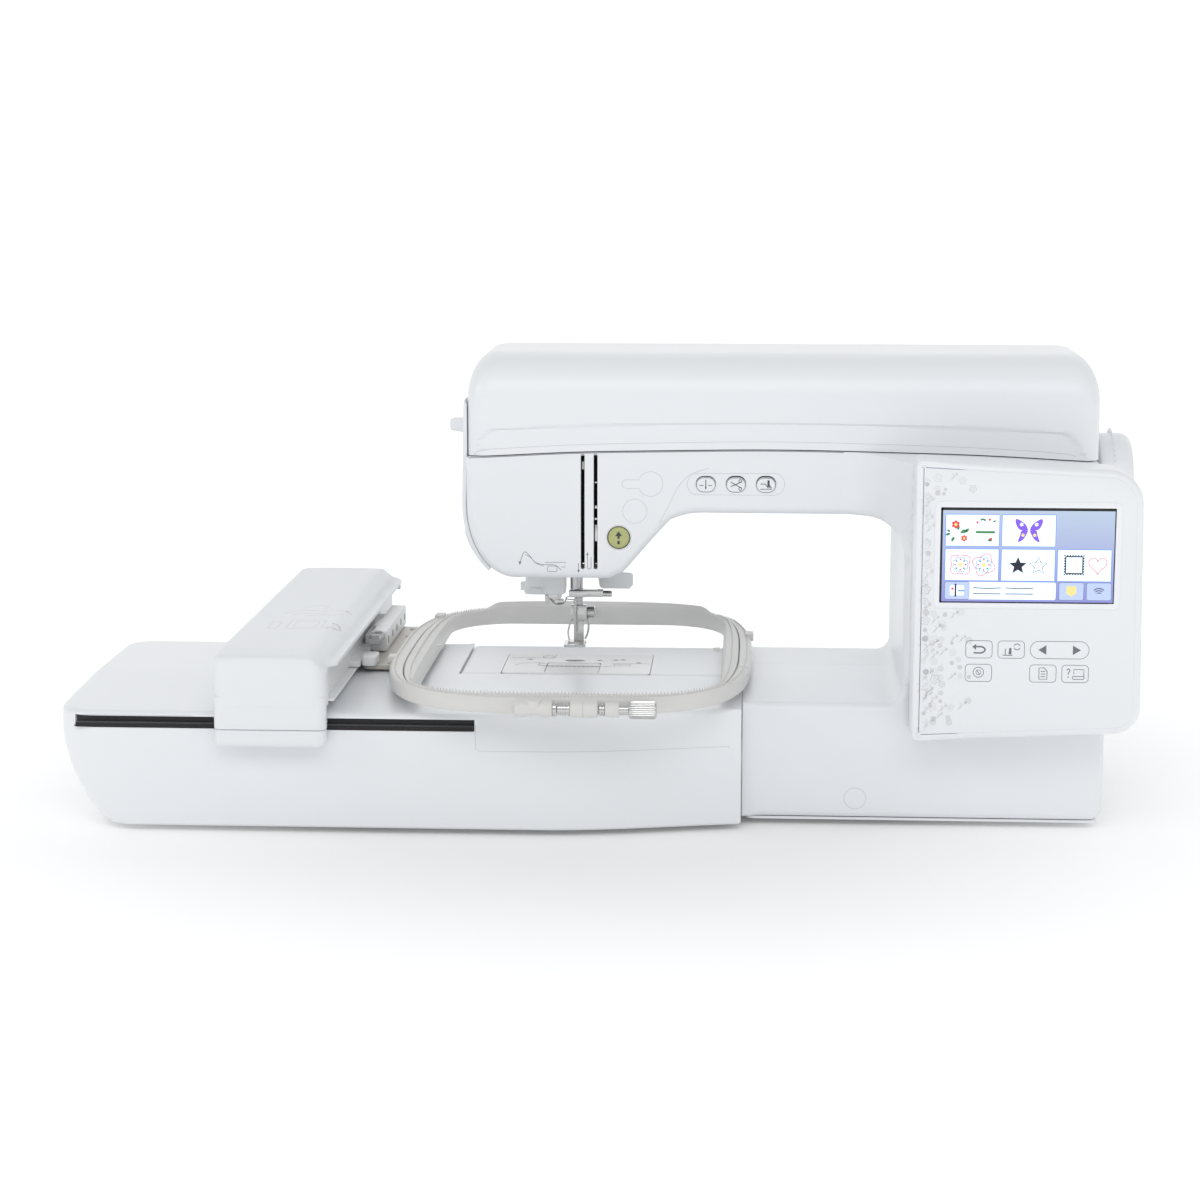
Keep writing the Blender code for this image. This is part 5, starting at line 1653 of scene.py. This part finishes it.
def threader_parts():
    """The threader's housing, tab and hook, and the rim under the nose."""
    bm = bmesh.new()
    add_loft(bm, [[(x, y, z) for x, y in rounded(x0, x1, -d, d, 2.0, 4)] for x0, x1, d, z in
                  ((-33.0, -8.0, 6.0, 131.2), (-34.2, -6.6, 7.8, 132.0), (-34.4, -6.2, 8.8, 135),
                   (-33.0, -6.2, 8.8, 146),
                   (-30.0, -6.2, 8.6, 159.6))])
    add_box(bm, -37.2, -33.4, -3.0, 3.0, 133.4, 139.0, 0.7)
    piece("threader_housing", bm, "frosted", stands_for="threader_hood")
    bm = bmesh.new()
    add_box(bm, -30.5, -22.0, -9.8, -8.2, 131.8, 136.4, 0.5)
    piece("threader_tab", bm, "white")
    bm = bmesh.new()
    add_box(bm, -20.5, -17.6, -3.0, 3.0, 124.4, 132.0, 0.4)
    add_box(bm, -18.6, -9.6, -4.0, -2.4, 126.6, 132.6, 0.3)
    add_box(bm, -12.0, -7.6, -4.6, 2.4, 124.0, 127.6, 0.5)
    add_tube(bm, wave([(-17.0, -4.6, 128.0), (-12.5, -6.2, 124.6), (-7.5, -5.2, 125.2),
                       (-5.9, -3.4, 127.8)], 6), 0.5, 8)
    add_tube(bm, [(-15.0, 1.0, 132.5), (-15.0, 1.0, 124.2)], 0.9, 10)
    for x, z in ((-19.0, 129.4), (-10.0, 130.2)):
        add_turned(bm, "y", (x, z), [(-5.0, 0.9), (-4.6, 1.3), (-3.4, 1.3)], 14)
    piece("threader_hook_metal", bm, "nickel")
    bm = bmesh.new()
    add_loft(bm, [[(x, y, z) for x, y in rounded(NOSE_LEFT + 5.4 + k, NOSE_RIGHT - 5.4 - k, -45.4 + k,
                                                 43.4 - k, 4, 4)]
                  for z, k in ((NOSE_Z + 0.6, 0), (NOSE_Z + 0.6, 3), (NOSE_Z + 7, 4),
                               (NOSE_Z + 7, 0))], closed=True)
    piece("nose_rim", bm, "grey")


def needle_plate():
    bm = bmesh.new()
    outline = fine(rounded(-47, 53, -43.5, 22, 3, 5), 6.0)
    add_prism(bm, outline, "z", BED_Z - 2.3, BED_Z + 0.25, 0.5, 3)
    plate = piece("stitch_plate", bm, "plate", stands_for="needle_plate")
    hole = bmesh.new()
    slit = [(6.4 * math.cos(t), 2.4 * math.sin(t)) for t in (math.pi * 2 * i / 28 for i in range(28))]
    add_prism(hole, slit, "z", BED_Z - 5, BED_Z + 3, 0.01, 1)
    carve(plate, hole, (-18.4, 18.4, -40.4, -7.6, BED_Z - 5, BED_Z + 3))

    def lay(u, v, lift):
        return (u, v, BED_Z + 0.25 + lift)
    bm = bmesh.new()
    add_line(bm, lay, [(-44.5, 8), (-14, 8), (-14, 19.5)], 0.35)
    add_line(bm, lay, [(-24, -6), (-24, -19), (26, -19), (26, -9), (52, -9)], 0.35)
    add_line(bm, lay, rounded(27.5, 39, -17, -12, 1.2, 3), 0.4, closed=True)
    add_line(bm, lay, wave([(-40, -19), (-36, -12), (-26, -9), (-20, -10)], 5), 0.35)
    add_line(bm, lay, circle(-21, -15, 3.0, 20), 0.4, closed=True)
    add_line(bm, lay, circle(-19, 12, 4.0, 20), 0.4, closed=True)
    for x in range(-20, 30, 3):
        add_line(bm, lay, [(x, -20.4), (x, -21.8)], 0.3)
    for x, y in ((-31, 3), (28, 3), (33, 4), (17, 1), (44, -6)):
        add_fill(bm, lay, [(x - 2.4, y - 0.6), (x, y + 1.8), (x + 2.4, y - 0.4), (x, y - 1.6)])
    add_line(bm, lay, [(u * 1.12, v * 1.25) for u, v in slit], 0.35, closed=True)
    piece("stitch_plate_marks", bm, "ink")


# Drive, feet and hidden works -------------------------------------------------

def handwheel():
    bm = bmesh.new()
    c = (0, SHAFT_Z)
    add_turned(bm, "x", c, [(349.6, 25), (350.0, 28.5), (351.2, 30.8), (353.0, 31.8), (355, 32),
                            (364.5, 32),
                            (368.5, 31.4), (371.2, 29.8), (372.8, 27.2), (373.4, 24.0),
                            (373.5, 21.0), (373.1, 18.6),
                            (371.6, 17.2), (369.0, 16.6), (368.6, 12.0), (368.8, 6.0), (368.8, 0.2)], 72)
    piece("hand_wheel", bm, "white", "drive", "handwheel", crease=30)
    path = [(359.8, y, z) for y, z in circle(0, SHAFT_Z, 31.9, 96)]
    bars("hand_wheel_grips", path, sizes().grip_pitch / MM, (0.9, 8.2, 0.9), "white", True, 0.3,
         body="drive")


def feet_and_lever():
    spots = {"foot_front_left": (134, -72), "foot_front_right": (330, -72), "foot_back_left": (134, 44),
             "foot_back_right": (330, 44), "unit_foot_front": (-262, -106), "unit_foot_back": (-262, 36)}
    for name, spot in spots.items():
        bm = bmesh.new()
        add_turned(bm, "z", spot, [(0.0, 7.6), (0.25, 8.3), (1.0, 8.7), (3.0, 9.2), (3.7, 9.4)], 36)
        piece(name + "_pad", bm, "rubber", stands_for=name)
    bm = bmesh.new()
    shape = fine([(-83.6, 245.0), (-82.4, 244.2), (-67.2, 241.8), (-67.2, 252.8), (-80.6, 252.8),
                  (-83.0, 252.0),
                  (-83.9, 250.6)], 3.0)
    add_prism(bm, shape, "y", -12, -8, 1.0)
    piece("threader_handle", bm, "white", "threader", "threader_lever")


def back_details():
    """Cooling louvres, a carrying grip recess line and screw heads on the rear."""
    bm = bmesh.new()

    def lay(u, v, lift):
        return (u, BACK + lift, v)
    # painted shade: dark films stand for the shade inside the louvre openings
    for i in range(9):
        add_fill(bm, lay, rounded(262, 322, 118 + 6 * i, 120.4 + 6 * i, 1.1, 3), 0.05)
    piece("back_vents", bm, "dark")
    bm = bmesh.new()
    for x, z in ((-40, 222), (150, 222), (330, 222), (330, 22), (130, 22), (232, 110)):
        add_turned(bm, "y", (x, z), [(BACK - 0.2, 3.6), (BACK + 0.9, 3.4), (BACK + 1.3, 2.6),
                                     (BACK + 1.4, 0.4)], 24)
    piece("back_screws", bm, "nickel")


def cad_finishes():
    """Procedural finishes for the packed nodes that stay in view."""
    for finish, nodes in CAD_FINISHES.items():
        for node in nodes:
            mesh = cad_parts[node].data
            mesh.materials.clear()
            mesh.materials.append(F[finish])


# Stage ------------------------------------------------------------------------

def stage():
    """The floor, the even light, three softboxes and the camera."""
    looks = bpy.context.scene.machine_stage
    stage_floor(looks)
    world = bpy.data.worlds.new("soft_studio")
    world.use_nodes = True
    sky = world.node_tree.nodes["Background"]
    sky.inputs["Color"].default_value = (0.97, 0.985, 1.0, 1)
    sky.inputs["Strength"].default_value = looks.ambient
    bpy.context.scene.world = world
    softbox("front_softbox", (0.1, -2.0, 1.9), (0.0, 0.0, 0.15), 2.4, 1.0, looks.front_light)
    softbox("left_softbox", (-2.3, -1.1, 1.5), (0.0, 0.0, 0.15), 0.7, 0.7, looks.left_light)
    softbox("right_softbox", (2.0, -1.2, 1.2), (0.1, 0.0, 0.15), 1.2, 1.2, looks.right_light)
    stage_camera()
    bpy.context.scene.view_settings.view_transform = "Standard"


def stage_floor(looks):
    """A sweep that curves up behind the machine and glows more further out."""
    floor_finish = Finish("stage_floor", (looks.floor_tone,) * 3, 0.9)
    floor_finish.tint(floor_finish.noise(2.0, 2.0), shade((looks.floor_tone,) * 3, 0.995))
    reach = floor_finish.node("ShaderNodeVectorMath", {"operation": "LENGTH"}, {0: floor_finish.here},
                              out=1)
    # painted shade: the glow fades to a dim grey near the machine so the floor round it reads darker
    share = floor_finish.node("ShaderNodeMapRange", None, {0: reach, 1: 0.20, 2: 0.62, 3: 0.0, 4: 1.0})
    floor_finish.set("Emission Color", floor_finish.node(
        "ShaderNodeMix", {"data_type": "RGBA"}, {0: share, 6: (0.12, 0.12, 0.12, 1),
                                                 7: (1, 1, 1, 1)}, out=2))
    floor_finish.set("Emission Strength", looks.floor_glow)
    curve = [(1.6 + 1.4 * math.sin(t), 1.4 * (1 - math.cos(t)))
             for t in (math.pi / 2 * i / 16 for i in range(1, 17))]
    profile = [(-6.0, 0.0), (1.6, 0.0)] + curve + [(3.0, 4.0)]
    bm = bmesh.new()
    rows = [[bm.verts.new((x, y, z)) for y, z in profile] for x in (-4.0, 4.0)]
    for i in range(len(profile) - 1):
        bm.faces.new((rows[0][i], rows[1][i], rows[1][i + 1], rows[0][i + 1]))
    mesh = bpy.data.meshes.new("stage_sweep")
    bm.to_mesh(mesh)
    bm.free()
    sweep = bpy.data.objects.new("stage_sweep", mesh)
    mesh.materials.append(floor_finish.material)
    mesh.shade_smooth()
    add_object(sweep)


def stage_camera():
    camera = bpy.data.objects.new("camera", bpy.data.cameras.new("camera"))
    camera.data.lens = LENS_MM
    camera.data.sensor_width = SENSOR_MM
    camera.data.clip_end = FAR_CLIP
    camera.location = CAMERA_SPOT
    camera.rotation_euler = (math.radians(90 - CAMERA_DIP), 0.0, math.radians(CAMERA_PAN))
    add_object(camera)
    bpy.context.scene.camera = camera


def softbox(name, spot, aim, width, height, power):
    data = bpy.data.lights.new(name, "AREA")
    data.shape = "RECTANGLE"
    data.size, data.size_y, data.energy = width, height, power
    lamp = bpy.data.objects.new(name, data)
    lamp.location = spot
    lamp.rotation_euler = (Vector(aim) - Vector(spot)).to_track_quat("-Z", "Y").to_euler()
    add_object(lamp)


# Add-on -------------------------------------------------------------------

class MachineLooks(bpy.types.PropertyGroup):
    casing_colour: FloatVectorProperty(name="Casing", description="Colour of the white casings",
                                       subtype="COLOR", size=3, min=0, max=1, default=(0.865, 0.88, 0.90))
    hoop_colour: FloatVectorProperty(name="Hoop", description="Colour of the hoop's plastic",
                                     subtype="COLOR", size=3, min=0, max=1, default=(0.74, 0.73, 0.71))
    ink_colour: FloatVectorProperty(name="Ink", description="Colour of the printed keys",
                                    subtype="COLOR", size=3, min=0, max=1, default=(0.17, 0.18, 0.20))


class MachineSizes(bpy.types.PropertyGroup):
    wall: FloatProperty(name="Wall", description="Thickness of the casings' walls", default=0.0022,
                        min=0.0005, max=0.005, unit="LENGTH", precision=5)
    rib_pitch: FloatProperty(name="Rib pitch", description="Step between the ribs on the hoop's rings",
                             default=0.0023, min=0.001, max=0.01, unit="LENGTH", precision=5)
    grip_pitch: FloatProperty(name="Grip pitch", description="Step between the ribs round the handwheel",
                              default=0.004175, min=0.002, max=0.02, unit="LENGTH", precision=5)
    bristle_pitch: FloatProperty(name="Bristle pitch", description="Step between the bristles in the slot",
                                 default=0.0009, min=0.0005, max=0.005, unit="LENGTH", precision=5)


class MachineStage(bpy.types.PropertyGroup):
    floor_tone: FloatProperty(name="Floor", description="Lightness of the floor", default=0.96, min=0,
                              max=1)
    floor_glow: FloatProperty(name="Floor glow", description="Light that the backdrop adds itself",
                              default=0.36,
                              min=0, max=2)
    ambient: FloatProperty(name="Ambient", description="Strength of the even light", default=0.60, min=0,
                           max=5)
    front_light: FloatProperty(name="Front softbox", description="Power of the softbox in front",
                               default=13.5,
                             min=0, unit="POWER")
    left_light: FloatProperty(name="Left softbox", description="Power of the left softbox", default=6.0,
                              min=0, unit="POWER")
    right_light: FloatProperty(name="Right softbox", description="Power of the right softbox", default=2.5,
                               min=0, unit="POWER")


def operator(label, name, words, *steps):
    """An operator class that runs the makers of one group of pieces."""
    def execute(self, context):
        for step in steps:
            step()
        return {"FINISHED"}
    return type(f"MACHINE_OT_{name}", (bpy.types.Operator,),
                {"bl_idname": f"machine.{name}", "bl_label": label, "__doc__": words, "execute": execute})


def prepare():
    TREES["bars"] = repeat_tree()
    make_finishes()


OPERATORS = [
    operator("Stage", "stage", "Add the floor, lights and camera", stage),
    operator("Finishes", "finishes", "Make the materials and the repeat tree", prepare),
    operator("Front casing", "front_casing", "Build the front shell with its openings",
             machine_front_shell),
    operator("Rear casing", "rear_casing", "Build the rear shell and its louvres", machine_rear_shell,
             back_details),
    operator("Lid", "lid", "Build the lid over the spools", lid_shell),
    operator("Head details", "head_details", "Build the head's covers, channels and lines", head_details),
    operator("Buttons", "buttons", "Build the start button and the three keys", start_button, pill_buttons),
    operator("Panel", "panel", "Build the panel, its screen, keys and print", panel),
    operator("Embroidery unit", "unit", "Build the embroidery unit and its slot", unit_shell),
    operator("Carriage arm", "arm", "Build the arm and the hoop holder", carriage_arm, holder),
    operator("Hoop", "hoop", "Build the two rings and the clamp", hoop_rings),
    operator("Needle area", "needle_area", "Build the needle clamp, foot, threader and plate", needle_area,
             needle_plate),
    operator("Drive and feet", "drive", "Build the handwheel, feet and threader handle", handwheel,
             feet_and_lever),
    operator("Hidden works", "hidden", "Give the packed nodes their finishes", cad_finishes),
]


class MACHINE_PT_pieces(bpy.types.Panel):
    """Lists the pieces that can be built"""
    bl_label = "Machine"
    bl_space_type = "VIEW_3D"
    bl_region_type = "UI"
    bl_category = "Machine"

    def draw(self, context):
        for group in (context.scene.machine_sizes, context.scene.machine_looks,
                      context.scene.machine_stage):
            for key in group.bl_rna.properties.keys():
                if key not in ("rna_type", "name"):
                    self.layout.prop(group, key)
        for made in OPERATORS:
            self.layout.operator(made.bl_idname)


CLASSES = [MachineSizes, MachineLooks, MachineStage, *OPERATORS, MACHINE_PT_pieces]


def register():
    for each in CLASSES:
        bpy.utils.register_class(each)
    bpy.types.Scene.machine_sizes = PointerProperty(type=MachineSizes)
    bpy.types.Scene.machine_looks = PointerProperty(type=MachineLooks)
    bpy.types.Scene.machine_stage = PointerProperty(type=MachineStage)


def unregister():
    del bpy.types.Scene.machine_stage
    del bpy.types.Scene.machine_looks
    del bpy.types.Scene.machine_sizes
    for each in reversed(CLASSES):
        bpy.utils.unregister_class(each)


def main():
    register()
    for made in OPERATORS:
        group, name = made.bl_idname.split(".")
        getattr(getattr(bpy.ops, group), name)()


if __name__ == "__main__":
    main()
